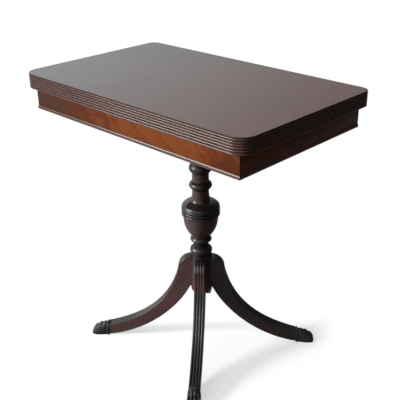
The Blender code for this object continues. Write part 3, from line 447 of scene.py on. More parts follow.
def polished_top(tree, hues):
    """Dark red-brown mahogany under an even wax polish."""
    grain = tree.grain()
    streaks = tree.noise(grain, (2.5, 95.0, 95.0), 4.0, 0.6, 0.4)
    figure = tree.noise(grain, (1.6, 6.0, 6.0), 2.0)
    pores = tree.ease(tree.noise(grain, (55.0, 1500.0, 1500.0), 1.0), 0.60, 0.72)
    smudge = tree.noise(grain, (7.0, 9.0, 9.0), 3.0)
    dirt = tree.attribute("dirt")
    edge = tree.attribute("edge")
    across = tree.part(tree.place(), "X")
    # The brown turns redder towards the right: painted light, following how the light falls across the top
    rich = streaks * 0.4 + figure * 0.3 + tree.ease(across, -0.36, 0.30) * 0.3
    body = tree.mix(tree.ease(rich, 0.30, 0.72), hues.top_dark, hues.top_brown)
    body = tree.mix(pores * 0.3, body, hues.base_black)
    body = tree.mix(edge, body, hues.edge_brown)
    # Painted shade on the reeds round both ends of the leaves
    body = tree.mix(edge * tree.ease(abs(across), 0.350, 0.364) * 0.5, body, hues.base_black)
    # Painted shade in the grooves between the reeds and along the top of the bead, which also dulls the
    # polish there
    tree.principled(
        Base_Color=tree.mix(dirt * 0.65, body, hues.base_black),
        Roughness=0.20 + smudge * 0.08 + edge * 0.06 + dirt * 0.3,
        Specular_IOR_Level=0.3,
        Coat_Weight=0.42 + edge * (tree.ease(across, -0.30, 0.05) * 0.8 - 0.37) - dirt * 0.9,
        Coat_Roughness=0.14,
        Normal=tree.bump(streaks * 0.5 - pores * 0.5, 0.000005),
    )


def figured_veneer(tree, hues):
    """Orange-brown mahogany veneer, brightest right of the middle, with slanting flames, dark flecks and
    painted shade at its right end.
    """
    grain = tree.grain()
    slant = (0, math.radians(-38), 0)
    slanted = tree.node("ShaderNodeMapping", None, {"Vector": grain, "Rotation": slant})
    across = tree.part(tree.place(), "X")
    side_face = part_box("right_rail")[1].x
    # A broad tone along X: darker towards the left and brightest right of the middle; its fall towards the
    # right end, and so over the right rail, is painted shade
    tone_along = tree.ease(across, -0.31, 0.05) - tree.ease(across, 0.20, 0.36) * 0.8
    flame = tree.noise(slanted, (11.0, 30.0, 42.0), 3.0, 0.55, 0.8)
    mottle = tree.noise(grain, (55.0, 70.0, 90.0), 3.0, 0.6)
    streaks = tree.noise(grain, (14.0, 500.0, 500.0), 3.0, 0.6)
    flecks = tree.ease(tree.noise(grain, (130.0, 300.0, 300.0), 2.0), 0.65, 0.71)
    smudge = tree.noise(grain, (14.0, 30.0, 30.0), 3.0)
    glow = tone_along * 0.5 + flame * 0.7 + mottle * 0.35 - 0.42
    body = tree.mix(tree.ease(glow, 0.02, 0.38), hues.veneer_dark, hues.veneer_red)
    body = tree.mix(tree.ease(glow, 0.25, 0.68), body, hues.veneer_light)
    body = tree.mix((1 - streaks) * 0.25, body, hues.veneer_dark)
    tree.principled(
        Base_Color=tree.mix(flecks * 0.7, body, hues.base_brown),
        Roughness=0.34 + smudge * 0.12,
        Specular_IOR_Level=0.05,
        Coat_Weight=tree.ease(abs(across), side_face - 2 * RAIL_EDGE, side_face - RAIL_EDGE) * 0.7,
        Coat_Roughness=0.3,
        Normal=tree.bump(streaks, 0.00003),
    )


def polished_base(tree, hues):
    """Near-black mahogany with red wear and pale worn stain, painted light on leg sides and shade in
    hollows.
    """
    grain = tree.grain()
    streaks = tree.noise(grain, (8.0, 330.0, 330.0), 3.0, 0.6)
    patches = tree.noise(grain, (9.0, 26.0, 26.0), 3.0, 0.55)
    pores = tree.ease(tree.noise(grain, (60.0, 1400.0, 1400.0), 1.0), 0.60, 0.72)
    smudge = tree.noise(grain, (35.0, 45.0, 45.0), 3.0)
    dirt = tree.attribute("dirt")
    body = tree.mix(tree.ease(patches * 0.7 + streaks * 0.3, 0.46, 0.70), hues.base_brown, hues.base_red)
    # Pale worn stain on the column and beside the drum, and painted light on the legs' sides and on the drum
    body = tree.mix(tree.attribute("faded") * (0.4 + patches), body, hues.base_faded)
    body = tree.mix(pores * 0.5, body, hues.base_black)
    # Painted shade in the hollows beside the rings, under the legs, in their grooves and over the side legs'
    # reeds, which also dulls the polish there
    tree.principled(
        Base_Color=tree.mix(dirt * 0.9, body, hues.base_black),
        Roughness=0.24 + smudge * 0.14 + dirt * 0.2,
        Specular_IOR_Level=0.30,
        Coat_Weight=0.5 - dirt * 0.5,
        Coat_Roughness=0.14,
        Normal=tree.bump(streaks * 0.4 + smudge * 0.6, 0.000015),
    )


def plain_wood(tree, hues):
    """Pale unpolished boards with growth rings and saw marks."""
    grain = tree.grain()
    wander = tree.noise(grain, (2.0, 10.0, 10.0), 2.0)
    rings = tree.math("FRACT", tree.noise(grain, (0.9, 9.0, 9.0), 1.0) * 14.0 + wander)
    late = tree.ease(rings, 0.35, 0.95)
    streaks = tree.noise(grain, (10.0, 600.0, 600.0), 3.0, 0.6)
    saw = tree.noise(grain, (240.0, 12.0, 12.0), 1.0)
    body = tree.mix(late * 0.75 + streaks * 0.25, hues.plain_light, hues.plain_dark)
    tree.principled(
        Base_Color=tree.mix(tree.ease(wander, 0.55, 0.75) * 0.35, body, hues.plain_dark),
        Roughness=0.66 + streaks * 0.18,
        Normal=tree.bump(streaks * 0.6 + saw * 0.4, 0.00012),
    )


def aged_brass(tree, hues):
    """Satin brass with brown tarnish and brush marks along the hinge."""
    place = tree.place()
    stain = tree.noise(place, (110.0, 110.0, 110.0), 4.0, 0.6)
    brushing = tree.noise(place, (60.0, 2600.0, 2600.0), 2.0)
    tree.principled(
        Base_Color=tree.mix(tree.ease(stain, 0.42, 0.68), hues.brass, hues.tarnish),
        Metallic=1.0,
        Roughness=0.30 + tree.ease(stain, 0.4, 0.7) * 0.25,
        Normal=tree.bump(brushing, 0.00002),
    )


def dark_iron(tree, hues):
    """Dark iron with a forged skin and a little rust."""
    place = tree.place()
    skin = tree.noise(place, (420.0, 420.0, 420.0), 3.0, 0.6)
    stain = tree.ease(tree.noise(place, (90.0, 90.0, 90.0), 4.0, 0.6), 0.52, 0.70)
    tree.principled(
        Base_Color=tree.mix(stain, hues.iron, hues.rust),
        Metallic=0.85 - stain * 0.7,
        Roughness=0.42 + stain * 0.35,
        Normal=tree.bump(skin, 0.00010),
    )


def patinated_bronze(tree, hues):
    """Green-black cast metal, rubbed brighter on its crests."""
    place = tree.place()
    casting = tree.noise(place, (520.0, 520.0, 520.0), 3.0, 0.6)
    patches = tree.noise(place, (130.0, 130.0, 130.0), 3.0, 0.55)
    rub = tree.ease(tree.attribute("rub") + patches * 0.6, 0.95, 1.35)
    tree.principled(
        Base_Color=tree.mix(rub, hues.bronze, hues.bronze_rubbed),
        Metallic=0.35 + rub * 0.4,
        Roughness=0.46 - rub * 0.14 + casting * 0.12,
        Normal=tree.bump(casting * 0.7 + patches * 0.3, 0.00025),
    )


def grain_turn(node, along):
    """The turn that lays a piece's grain along X, shifted so that no two pieces match."""
    seed = NODE_ORDER.index(node) + 1
    shift = Vector([seed * part for part in GRAIN_SHIFT])
    turn = Vector(along).rotation_difference(Vector((1, 0, 0)))
    return Matrix.Translation(shift) @ turn.to_matrix().to_4x4()


def new_object(name, bm, material=None):
    """An object at the origin, made from a bmesh."""
    mesh = bpy.data.meshes.new(name)
    bm.to_mesh(mesh)
    bm.free()
    if material:
        mesh.materials.append(material)
    item = bpy.data.objects.new(name, mesh)
    bpy.context.scene.collection.objects.link(item)
    return item


def stand_for(node, bm, material, along=(1, 0, 0)):
    """Turn a bmesh into the piece that stands for a CAD node and rides on its body."""
    bmesh.ops.remove_doubles(bm, verts=bm.verts, dist=WELD)
    bmesh.ops.recalc_face_normals(bm, faces=bm.faces)
    piece = new_object(f"dressed_{node}", bm, material)
    mesh = piece.data
    mesh.shade_smooth()
    mesh.set_sharp_from_angle(angle=SHARP)
    turn = grain_turn(node, along)
    grain = mesh.attributes.new("grain", "FLOAT_VECTOR", "POINT")
    for vert, item in zip(mesh.vertices, grain.data):
        item.vector = turn @ vert.co
    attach(piece, BODY_OF[node])
    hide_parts(node)


def even(full=1.0, steps=ARC_STEPS):
    """Values from 0 to a full one in even steps."""
    return [full * step / steps for step in range(steps + 1)]


def fall(radius, aside):
    """How far a round of this radius falls away from its crown, so far aside of it."""
    return radius - math.sqrt(max(0.0, radius**2 - aside**2))


def only(kind, items):
    """The items of one kind out of what an operator gives back."""
    return [item for item in items if isinstance(item, kind)]


def placed(bm, turn, place):
    """Turn a bmesh about the origin, then move it to its place."""
    bmesh.ops.rotate(bm, cent=(0, 0, 0), matrix=turn, verts=bm.verts)
    bmesh.ops.translate(bm, vec=place, verts=bm.verts)
    return bm


def rounded(bm, geom, affect, width, segments):
    """Bevel some edges or corners of a bmesh."""
    bmesh.ops.bevel(
        bm,
        geom=geom,
        offset=width,
        offset_type="OFFSET",
        affect=affect,
        segments=segments,
        profile=0.5,
        clamp_overlap=True,
        material=-1,
    )


def grown_edges(bm, edges):
    """Extrude a loop of edges, and give back the new loop's vertices and edges."""
    grown = bmesh.ops.extrude_edge_only(bm, edges=edges)["geom"]
    verts = set(only(BMVert, grown))
    return verts, [edge for edge in only(BMEdge, grown) if verts.issuperset(edge.verts)]


def grown_face(bm, face, shift):
    """Extrude a face along a shift."""
    grown = bmesh.ops.extrude_face_region(bm, geom=[face])["geom"]
    bmesh.ops.translate(bm, vec=shift, verts=only(BMVert, grown))


def block(low, high):
    """A plain block between two corners."""
    bm = bmesh.new()
    bmesh.ops.create_cube(bm, size=1)
    bmesh.ops.scale(bm, vec=high - low, verts=bm.verts)
    bmesh.ops.translate(bm, vec=(high + low) / 2, verts=bm.verts)
    return bm


def rod(radius, start, end):
    """A round rod between two points that lie along X."""
    bm = bmesh.new()
    depth = (end - start).length
    bmesh.ops.create_cone(bm, cap_ends=True, segments=ROD_STEPS, radius1=radius, radius2=radius, depth=depth)
    return placed(bm, Matrix.Rotation(math.pi / 2, 3, "Y"), (start + end) / 2)


def turned(profile, centre, steps=TURN_STEPS):
    """A turned piece with its open ends filled.

    The profile has a radius and a height for each point, and can add its painted shade and how pale its
    stain is: worn stain, with painted light as well on the drum.
    """
    bm = bmesh.new()
    layers = [bm.verts.layers.float.new(name) for name in ("dirt", "faded")]
    points = []
    for radius, height, *values in profile:
        points.append(bm.verts.new((radius, 0, height)))
        for layer, value in zip(layers, values):
            points[-1][layer] = value
    edges = [bm.edges.new(pair) for pair in zip(points, points[1:])]
    bmesh.ops.spin(
        bm,
        geom=points + edges,
        cent=(0, 0, 0),
        axis=(0, 0, 1),
        angle=math.tau,
        steps=steps,
        use_merge=True,
    )
    bmesh.ops.remove_doubles(bm, verts=bm.verts, dist=WELD)
    rims = [edge for edge in bm.edges if edge.is_boundary]
    if rims:
        bmesh.ops.holes_fill(bm, edges=rims)
    bmesh.ops.translate(bm, vec=centre, verts=bm.verts)
    return bm


def carved(bm, cutters):
    """A bmesh with each cutter's shape taken out of it."""
    parts = []
    for shape in (bm, *cutters):
        bmesh.ops.recalc_face_normals(shape, faces=shape.faces)
        parts.append(new_object("carving", shape))
    for cutter in parts[1:]:
        cut = parts[0].modifiers.new("cut", "BOOLEAN")
        cut.operation = "DIFFERENCE"
        cut.solver = "EXACT"
        cut.object = cutter
    result = bmesh.new()
    result.from_object(parts[0], bpy.context.evaluated_depsgraph_get())
    for part in parts:
        bpy.data.meshes.remove(part.data)
    return result


def set_softened(node, material, width=SOFT_EDGE, along=(1, 0, 0)):
    """Put a copy of a CAD node in its place, with its triangles merged and its edges eased."""
    bm = bmesh.new()
    bm.from_mesh(frame["nodes"][node].data)
    bmesh.ops.remove_doubles(bm, verts=bm.verts, dist=WELD)
    bmesh.ops.dissolve_limit(bm, angle_limit=FLUSH, verts=bm.verts, edges=bm.edges)
    sharp = [edge for edge in bm.edges if edge.is_manifold and edge.calc_face_angle() > SHARP]
    rounded(bm, sharp, "EDGES", width, EDGE_STEPS)
    stand_for(node, bm, material, along)


def slotted_screw(top, reach):
    """A countersunk screw of this length that points down, with its slotted head at the origin."""
    rim, shank = top.screw_head, top.screw_shank
    profile = (
        (rim - SCREW_EDGE, 0),
        (rim, -SCREW_EDGE),
        (shank, -top.screw_sink),
        (shank, SCREW_EDGE - reach),
        (shank - SCREW_EDGE, -reach),
    )
    bm = turned(profile, Vector(), SCREW_STEPS)

    def head_faces():
        return [face for face in bm.faces if abs(face.calc_center_median().z) < WELD]

    bmesh.ops.inset_region(bm, faces=head_faces(), thickness=rim * HEAD_RIM)
    # The rim is made of quads, and the flats inside it have more corners
    for side in (-1, 1):
        flats = [face for face in head_faces() if len(face.verts) > 4]
        items = {item for face in flats for item in (face, *face.edges, *face.verts)}
        cut = (0, side * rim * SLOT_HALF, 0)
        bmesh.ops.bisect_plane(bm, geom=list(items), plane_co=cut, plane_no=(0, 1, 0))
    slot = min(head_faces(), key=lambda face: face.calc_center_median().length)
    grown_face(bm, slot, (0, 0, -top.screw_sink * SLOT_DEPTH))
    if slot.is_valid:
        bmesh.ops.delete(bm, geom=[slot], context="FACES_ONLY")
    return bm


def head_is_up(node, middle):
    """True where a screw's head is the upper end of its node: the end with the wider ring of points."""
    spread = {}
    for vert in frame["nodes"][node].data.vertices:
        end = vert.co.z > middle.z
        away = math.hypot(vert.co.x - middle.x, vert.co.y - middle.y)
        spread[end] = max(spread.get(end, 0), away)
    return spread[True] > spread[False]


def set_screw(top, node, material):
    """Put a slotted screw where its CAD node is, with its head at the same end."""
    low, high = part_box(node)
    middle = middle_of(node)
    upright = head_is_up(node, middle)
    turn = Matrix.Rotation(SCREW_TURN * (NODE_ORDER.index(node) % SCREW_TURNS), 3, "Z")
    if not upright:
        turn = Matrix.Rotation(math.pi, 3, "X") @ turn
    place = Vector((middle.x, middle.y, high.z if upright else low.z))
    stand_for(node, placed(slotted_screw(top, high.z - low.z), turn, place), material)


# The fillet's inset as a share of the reed depth, and how sharply the painted shade gathers in the grooves
FILLET_INSET = 0.5
LEAF_SHADE_POWER = 1.5


def reed_levels(top, bottom, high, fillet):
    """Heights and insets up a leaf's edge: half-round reeds with a sunk flat over each, then the fillet."""
    pitch = (high - fillet - bottom) / top.reeds
    levels = []
    for reed in range(top.reeds):
        foot = bottom + reed * pitch
        for swing in even(math.pi):
            rise = (pitch - top.quirk) * (1 - math.cos(swing)) / 2
            levels.append((foot + rise, 1 - math.sin(swing)))
        levels.append((foot + pitch, 1.0))
    if fillet:
        levels.append((high - fillet, FILLET_INSET))
        levels.append((high, FILLET_INSET))
    return levels


def leaf_blank(top, low, high, fillet):
    """One leaf: its plan with rounded corners, drawn up through the reeds of its edge."""
    bm = bmesh.new()
    plan = bm.verts.layers.float_vector.new("plan")
    outward = bm.verts.layers.float_vector.new("outward")
    dirt = bm.verts.layers.float.new("dirt")
    edge = bm.verts.layers.float.new("edge")
    half, front, back = high.x, low.y, high.y
    corners = [(half, back), (half, front), (-half, front), (-half, back)]
    bm.faces.new([bm.verts.new((x, y, low.z)) for x, y in corners])
    for y, radius in ((front, top.front_corner), (back, top.back_corner)):
        pair = [vert for vert in bm.verts if abs(vert.co.y - y) < WELD]
        rounded(bm, pair, "VERTICES", radius, CORNER_STEPS)
    for vert in bm.verts:
        at_front = vert.co.y < (front + back) / 2
        radius = top.front_corner if at_front else top.back_corner
        centre_y = front + radius if at_front else back - radius
        centre = Vector((math.copysign(half - radius, vert.co.x), centre_y, low.z))
        vert[plan] = vert.co
        vert[outward] = (vert.co - centre).normalized()
    hinged = next(side for side in bm.edges if all(abs(vert.co.y - back) < WELD for vert in side.verts))
    split = bmesh.ops.subdivide_edges(bm, edges=[hinged], cuts=2)["geom_inner"]
    for vert in only(BMVert, split):
        vert.co.x = math.copysign(half - top.back_corner - top.reed_stop, vert.co.x)
        vert[plan] = vert.co
        vert[outward] = (0, 0, 0)
    verts, edges = set(bm.verts), bm.edges[:]
    levels = reed_levels(top, low.z, high.z, fillet)
    for count, (height, sunk) in enumerate(levels):
        if count:
            verts, edges = grown_edges(bm, edges)
        on_edge = 0 < count < len(levels) - 1
        for vert in verts:
            vert.co = vert[plan] - vert[outward] * top.reed_depth * sunk
            vert.co.z = height
            # Painted shade in the grooves between the reeds
            vert[dirt] = on_edge * sunk**LEAF_SHADE_POWER * vert[outward].length
            vert[edge] = on_edge
    bmesh.ops.edgeloop_fill(bm, edges=edges)
    bm.verts.layers.float_vector.remove(plan)
    bm.verts.layers.float_vector.remove(outward)
    return bm


class GAMETABLE_OT_leaves(bpy.types.Operator):
    """Make the two reeded leaves, let in for their hinges"""

    bl_idname = "game_table.leaves"
    bl_label = "Leaves"

    def execute(self, context):
        table = context.scene.game_table
        top = table.top
        polish = painted(polished_top, table.finishes)
        axis = JOINT_PLACE["leaf_flip"]
        for level, face_end in (("lower", 1), ("upper", 0)):
            low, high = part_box(f"{level}_leaf")
            face = (low, high)[face_end].z
            cutters = []
            for side in HINGE_SIDES:
                near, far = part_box(f"hinge_plate_{side}_{level}")
                depth = top.plate_thickness + FIT
                bottom = face - depth if face_end else face - FIT
                bed_low = Vector((near.x - FIT, near.y - FIT, bottom))
                bed_high = Vector((far.x + FIT, far.y + FIT, bottom + depth + FIT))
                cutters.append(block(bed_low, bed_high))
                start = Vector((near.x - FIT, axis.y, axis.z))
                end = Vector((far.x + FIT, axis.y, axis.z))
                cutters.append(rod(top.barrel + 2 * FIT, start, end))
            fillet = 0 if face_end else top.fillet
            leaf = carved(leaf_blank(top, low, high, fillet), cutters)
            stand_for(f"{level}_leaf", leaf, polish)
        return {"FINISHED"}


class GAMETABLE_OT_hinges(bpy.types.Operator):
    """Make the hinge plates, their pins and their slotted screws"""

    bl_idname = "game_table.hinges"
    bl_label = "Hinges"

    def execute(self, context):
        table = context.scene.game_table
        brass = painted(aged_brass, table.finishes)
        for side in HINGE_SIDES:
            set_softened(f"hinge_pin_{side}", brass, PIN_EDGE)
            for level in ("lower", "upper"):
                set_softened(f"hinge_plate_{side}_{level}", brass, PLATE_EDGE)
                for count in (1, 2):
                    set_screw(table.top, f"hinge_screw_{side}_{level}_{count}", brass)
        return {"FINISHED"}


class GAMETABLE_OT_swivel(bpy.types.Operator):
    """Make the swivel's stud, washer, nut and screws"""

    bl_idname = "game_table.swivel"
    bl_label = "Swivel"

    def execute(self, context):
        table = context.scene.game_table
        iron = painted(dark_iron, table.finishes)
        for node in ("pivot_stud", "pivot_washer", "pivot_nut"):
            set_softened(node, iron, SWIVEL_EDGE)
        for count in (1, 2, 3):
            set_screw(table.top, f"pivot_screw_{count}", iron)
        return {"FINISHED"}


class GAMETABLE_OT_apron(bpy.types.Operator):
    """Make the four veneered rails of the apron"""

    bl_idname = "game_table.apron"
    bl_label = "Apron"

    def execute(self, context):
        veneer = painted(figured_veneer, context.scene.game_table.finishes)
        for side in SIDE_NAMES:
            along = (1, 0, 0) if side in ("front", "back") else (0, 1, 0)
            set_softened(f"{side}_rail", veneer, RAIL_EDGE, along)
        return {"FINISHED"}


# Shares of the bead's height that its nose rounds over and that painted shade covers at its top, and how the
# nose leans back
NOSE_ROUND = 0.4
NOSE_POWER = 1.5
BEAD_SHADE = 0.125


def bead_strip(projection, half_length, reach, thickness, bottom, height):
    """A mitred strip along X whose face is reach from the frame's middle.

    Its nose stands out towards -Y and leans back at its top.
    """
    bm = bmesh.new()
    edge = bm.verts.layers.float.new("edge")
    dirt = bm.verts.layers.float.new("dirt")
    ends = half_length + 2 * projection
    nose = []
    for rise in even():
        out = projection * (1 - max(0.0, rise / NOSE_ROUND - 1 / NOSE_ROUND + 1) ** NOSE_POWER)
        nose.append((-ends, -reach - out, bottom + height * rise))
    back = thickness - reach
    section = [(-ends, back, bottom), *nose, (-ends, back, bottom + height)]
    face = bm.faces.new([bm.verts.new(point) for point in section])
    grown_face(bm, face, (2 * ends, 0, 0))
    for side in (-1, 1):
        cut = bmesh.ops.bisect_plane(
            bm,
            geom=bm.verts[:] + bm.edges[:] + bm.faces[:],
            plane_co=(side * half_length, -reach, 0),
            plane_no=(side, 1, 0),
            clear_outer=True,
        )["geom_cut"]
        bmesh.ops.edgeloop_fill(bm, edges=only(BMEdge, cut))
    for vert in bm.verts:
        vert[edge] = 1.0
        # Painted shade along the top of the bead
        vert[dirt] = max(0.0, 1 - (1 - (vert.co.z - bottom) / height) / BEAD_SHADE)
    return bm


class GAMETABLE_OT_beads(bpy.types.Operator):
    """Make the mitred cock bead under the apron"""

    bl_idname = "game_table.beads"
    bl_label = "Cock bead"

    def execute(self, context):
        table = context.scene.game_table
        projection = table.apron.bead_projection
        wood = painted(polished_top, table.finishes)
        front_low, front_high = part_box("cock_bead_front")
        back_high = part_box("cock_bead_back")[1]
        centre = Vector((0, (front_low.y + back_high.y) / 2, 0))
        half_x = front_high.x - projection
        half_y = (back_high.y - front_low.y) / 2 - projection
        thickness = front_high.y - front_low.y - projection
        height = front_high.z - front_low.z
        for quarter, side in enumerate(SIDE_NAMES):
            half_length, reach = (half_y, half_x) if quarter % 2 else (half_x, half_y)
            strip = bead_strip(projection, half_length, reach, thickness, front_low.z, height)
            turn = Matrix.Rotation(quarter * math.pi / 2, 3, "Z")
            stand_for(f"cock_bead_{side}", placed(strip, turn, centre), wood, turn @ Vector((1, 0, 0)))
        return {"FINISHED"}


class GAMETABLE_OT_carcase(bpy.types.Operator):
    """Make the corner blocks, cross rails and well inside the apron"""

    bl_idname = "game_table.carcase"
    bl_label = "Carcase"

    def execute(self, context):
        plain = painted(plain_wood, context.scene.game_table.finishes)
        for corner in CORNER_NAMES:
            set_softened(f"corner_block_{corner}", plain, along=(0, 0, 1))
        for node in ("column_rail", "pivot_rail", "well_partition"):
            set_softened(node, plain, along=(0, 1, 0))
        set_softened("well_board", plain, WELL_EDGE)
        return {"FINISHED"}


# Powers of the column's curves, where a higher one makes a ring shallower or a curve fuller at one end,
# and of the painted shade in the hollows beside the rings
RING_POWER = 2
URN_POWER = 2.5
SHOULDER_POWER = 1.7
FLARE_POWER = 3
RING_SHADE_POWER = 2


def ring_arc(radius, foot, bottom, height, head=None, power=1):
    """Profile points of a ring that swells from a foot radius and ends at a head radius.

    A power of 1 makes the ring half round, and a higher one makes it a shallower arc.
    """
    head = foot if head is None else head
    points = []
    for swing in even(math.pi):
        end = foot if swing < math.pi / 2 else head
        swell = abs(math.sin(swing)) ** power
        level = bottom + height * (1 - math.cos(swing)) / 2
        # The third value is painted shade in the hollows beside the ring
        points.append((end + (radius - end) * swell, level, (1 - swell) ** RING_SHADE_POWER))
    return points


def column_profile(column):
    """The column's half outline from the foot of its lower tenon to the top of its upper one."""
    low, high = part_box("column")
    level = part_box("drum")[1].z + FIT
    points = [(0, low.z), (column.tenon_radius, low.z), (column.tenon_radius, level)]
    points += ring_arc(
        column.base_ring, column.base_seat, level, column.base_ring_height, column.waist, RING_POWER
    )
    level += column.base_ring_height + column.waist_height
    points += ring_arc(
        column.foot_ring, column.waist, level, column.foot_ring_height, column.urn_foot, RING_POWER
    )[:-1]
    level += column.foot_ring_height
    for rise in even(1.0, 2 * ARC_STEPS):
        radius = column.urn - (column.urn - column.urn_foot) * (1 - rise) ** URN_POWER
        points.append((radius, level + column.urn_height * rise, 0.0, COLUMN_FADED))
    level += column.urn_height
    for _ in range(column.bands):
        points += ring_arc(column.band, column.urn, level, column.band_height)[1:]
        level += column.band_height
    neck_foot = column.neck + column.neck_flare
    for swing in even(math.pi / 2):
        radius = neck_foot + (column.urn_shoulder - neck_foot) * abs(math.cos(swing)) ** SHOULDER_POWER
        points.append((radius, level + column.urn_shoulder_height * math.sin(swing)))
    level += column.urn_shoulder_height
    for rise in even()[1:-1]:
        radius = column.neck + column.neck_flare * (1 - rise) ** FLARE_POWER
        faded = COLUMN_FADED * min(1.0, 2 * rise)
        points.append((radius, level + column.lower_neck_height * rise, 0.0, faded))
    level += column.lower_neck_height
    points += ring_arc(column.middle_ring, column.neck, level, column.middle_ring_height, power=RING_POWER)
    level += column.middle_ring_height
    for rise in even(column.upper_neck_height)[1:-1]:
        points.append((column.neck, level + rise, 0.0, COLUMN_FADED))
    level += column.upper_neck_height
    points += ring_arc(
        column.top_ring, column.neck, level, column.top_ring_height, column.shaft_foot, RING_POWER
    )
    capital_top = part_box("column_rail")[0].z - FIT
    capital_bottom = capital_top - column.capital_height
    collar_bottom = capital_bottom - column.collar_height
    points.append((column.shaft_head, collar_bottom - FIT))
    points += ring_arc(column.collar, column.shaft_head, collar_bottom, column.collar_height)
    flare = column.capital_height - column.capital_edge
    for swing in even(math.pi / 2)[1:]:
        radius = column.shaft_head + (column.capital - column.shaft_head) * (1 - math.cos(swing))
        points.append((radius, capital_bottom + flare * math.sin(swing)))
    points.append((column.capital, capital_top - SOFT_EDGE))
    points.append((column.capital - SOFT_EDGE, capital_top))
    points.append((column.upper_tenon_radius, capital_top))
    return points + [(column.upper_tenon_radius, high.z), (0, high.z)]


class GAMETABLE_OT_column(bpy.types.Operator):
    """Make the turned column with its urn"""

    bl_idname = "game_table.column"
    bl_label = "Column"

    def execute(self, context):
        table = context.scene.game_table
        wood = painted(polished_base, table.finishes)
        stand_for("column", turned(column_profile(table.column), COLUMN_AXIS), wood, (0, 0, 1))
        return {"FINISHED"}


class GAMETABLE_OT_drum(bpy.types.Operator):
    """Make the drum that carries the legs, with its plate and bolt"""

    bl_idname = "game_table.drum"
    bl_label = "Drum"

    def execute(self, context):
        table = context.scene.game_table
        low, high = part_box("drum")
        radius = (high.x - low.x) / 2
        bottom_round = table.column.drum_round
        profile = [(0, high.z), (radius - SOFT_EDGE, high.z), (radius, high.z - SOFT_EDGE)]
        for swing in even(math.pi / 2):
            out = radius - bottom_round * (1 - math.cos(swing))
            # Paler stain over the drum's lower round: worn stain together with painted light on the drum's
            # shaded side
            profile.append((out, low.z + bottom_round * (1 - math.sin(swing)), 0.0, DRUM_WEAR_AND_LIGHT))
        profile.append((0, low.z))
        wood = painted(polished_base, table.finishes)
        stand_for("drum", turned(profile, COLUMN_AXIS), wood, (0, 0, 1))
        iron = painted(dark_iron, table.finishes)
        for node in ("drum_plate", "drum_bolt"):
            set_softened(node, iron, BOLT_EDGE)
        return {"FINISHED"}


# Handles of the leg's upper and lower curves, outwards and up, from the curve's start and from its end
UPPER_HANDLES = Vector((0.0252, -0.1136)), Vector((-0.0983, 0.0270))
LOWER_HANDLES = Vector((0.0311, -0.0711)), Vector((-0.1145, 0.0158))
SHOULDER_STATIONS = 14
LEG_STATIONS = 44
UNDER_STEPS = 14
REED_STEPS = 10
# Where a leg's flat sides start over its underside, in arris radii, how far below the leg's top its inner
# face starts, as a share of the shoulder's drop, and how sharply the painted shade gathers in the grooves
SIDE_START = 1.4
INNER_DROP = 0.25
LEG_SHADE_POWER = 2.5


def sweep(ends, handles, part):
    """A point of the cubic between two ends, with a handle given from each end."""
    first, last = ends
    rest = 1 - part
    near = (first + handles[0]) * (3 * part * rest**2)
    far = (last + handles[1]) * (3 * part**2 * rest)
    return first * rest**3 + near + far + last * part**3


def leg_section(legs, seat, upper, lower, reed, hug, tuck=0.0):
    """Points round one section of a leg with the painted shade on each: underside, a side, the reeds, a
    side.

    upper and lower are (distance out, height); hug is 1 where the inner face follows the drum,
    and tuck is 1 where the sides and reeds follow it too.
    """
    away = (upper - lower).normalized()
    half = legs.width / 2
    flat = half - legs.arris
    arris = legs.arris * (1 - hug)
    points = []
    # Painted shade over the flat of the underside, fading out round its arrises
    for swing in even(math.pi, UNDER_STEPS):
        y = -half * math.cos(swing)
        bend = max(0.0, abs(y) - flat) / legs.arris
        lift = away * arris * fall(1, bend)
        points.append(((lower.x + lift.x - hug * fall(seat, y), y, lower.y + lift.y), 1 - bend))
    sides = (lower + away * SIDE_START * legs.arris, upper - away * (reed + legs.arris))
    tucked = tuck * fall(seat, half)
    points += [((point.x - tucked, half, point.y), 0.0) for point in sides]
    steps = legs.reeds * REED_STEPS
    for step in range(steps + 1):
        sunk = fall(1, 2 * (step % REED_STEPS) / REED_STEPS - 1)
        point = upper - away * reed * sunk
        # Painted shade in the grooves between the reeds
        groove = sunk**LEG_SHADE_POWER if 0 < step < steps else 0.0
        y = half * (1 - 2 * step / steps)
        points.append(((point.x - tuck * fall(seat, y), y, point.y), groove * reed / legs.reed_depth))
    points += [((point.x - tucked, -half, point.y), 0.0) for point in reversed(sides)]
    return points


def drawn_through(sections, layer_name):
    """A closed body drawn through sections of (point, value), with the values kept in a named layer."""
    bm = bmesh.new()
    place = bm.verts.layers.int.new("place")
    layer = bm.verts.layers.float.new(layer_name)
    loop = [bm.verts.new(point) for point, value in sections[0]]
    for count, vert in enumerate(loop):
        vert[place] = count
        vert[layer] = sections[0][count][1]
    bm.faces.new(loop)
    edges = bm.edges[:]
    for section in sections[1:]:
        verts, edges = grown_edges(bm, edges)
        for vert in verts:
            vert.co, vert[layer] = section[vert[place]]
    bmesh.ops.edgeloop_fill(bm, edges=edges)
    bm.verts.layers.int.remove(place)
    return bm


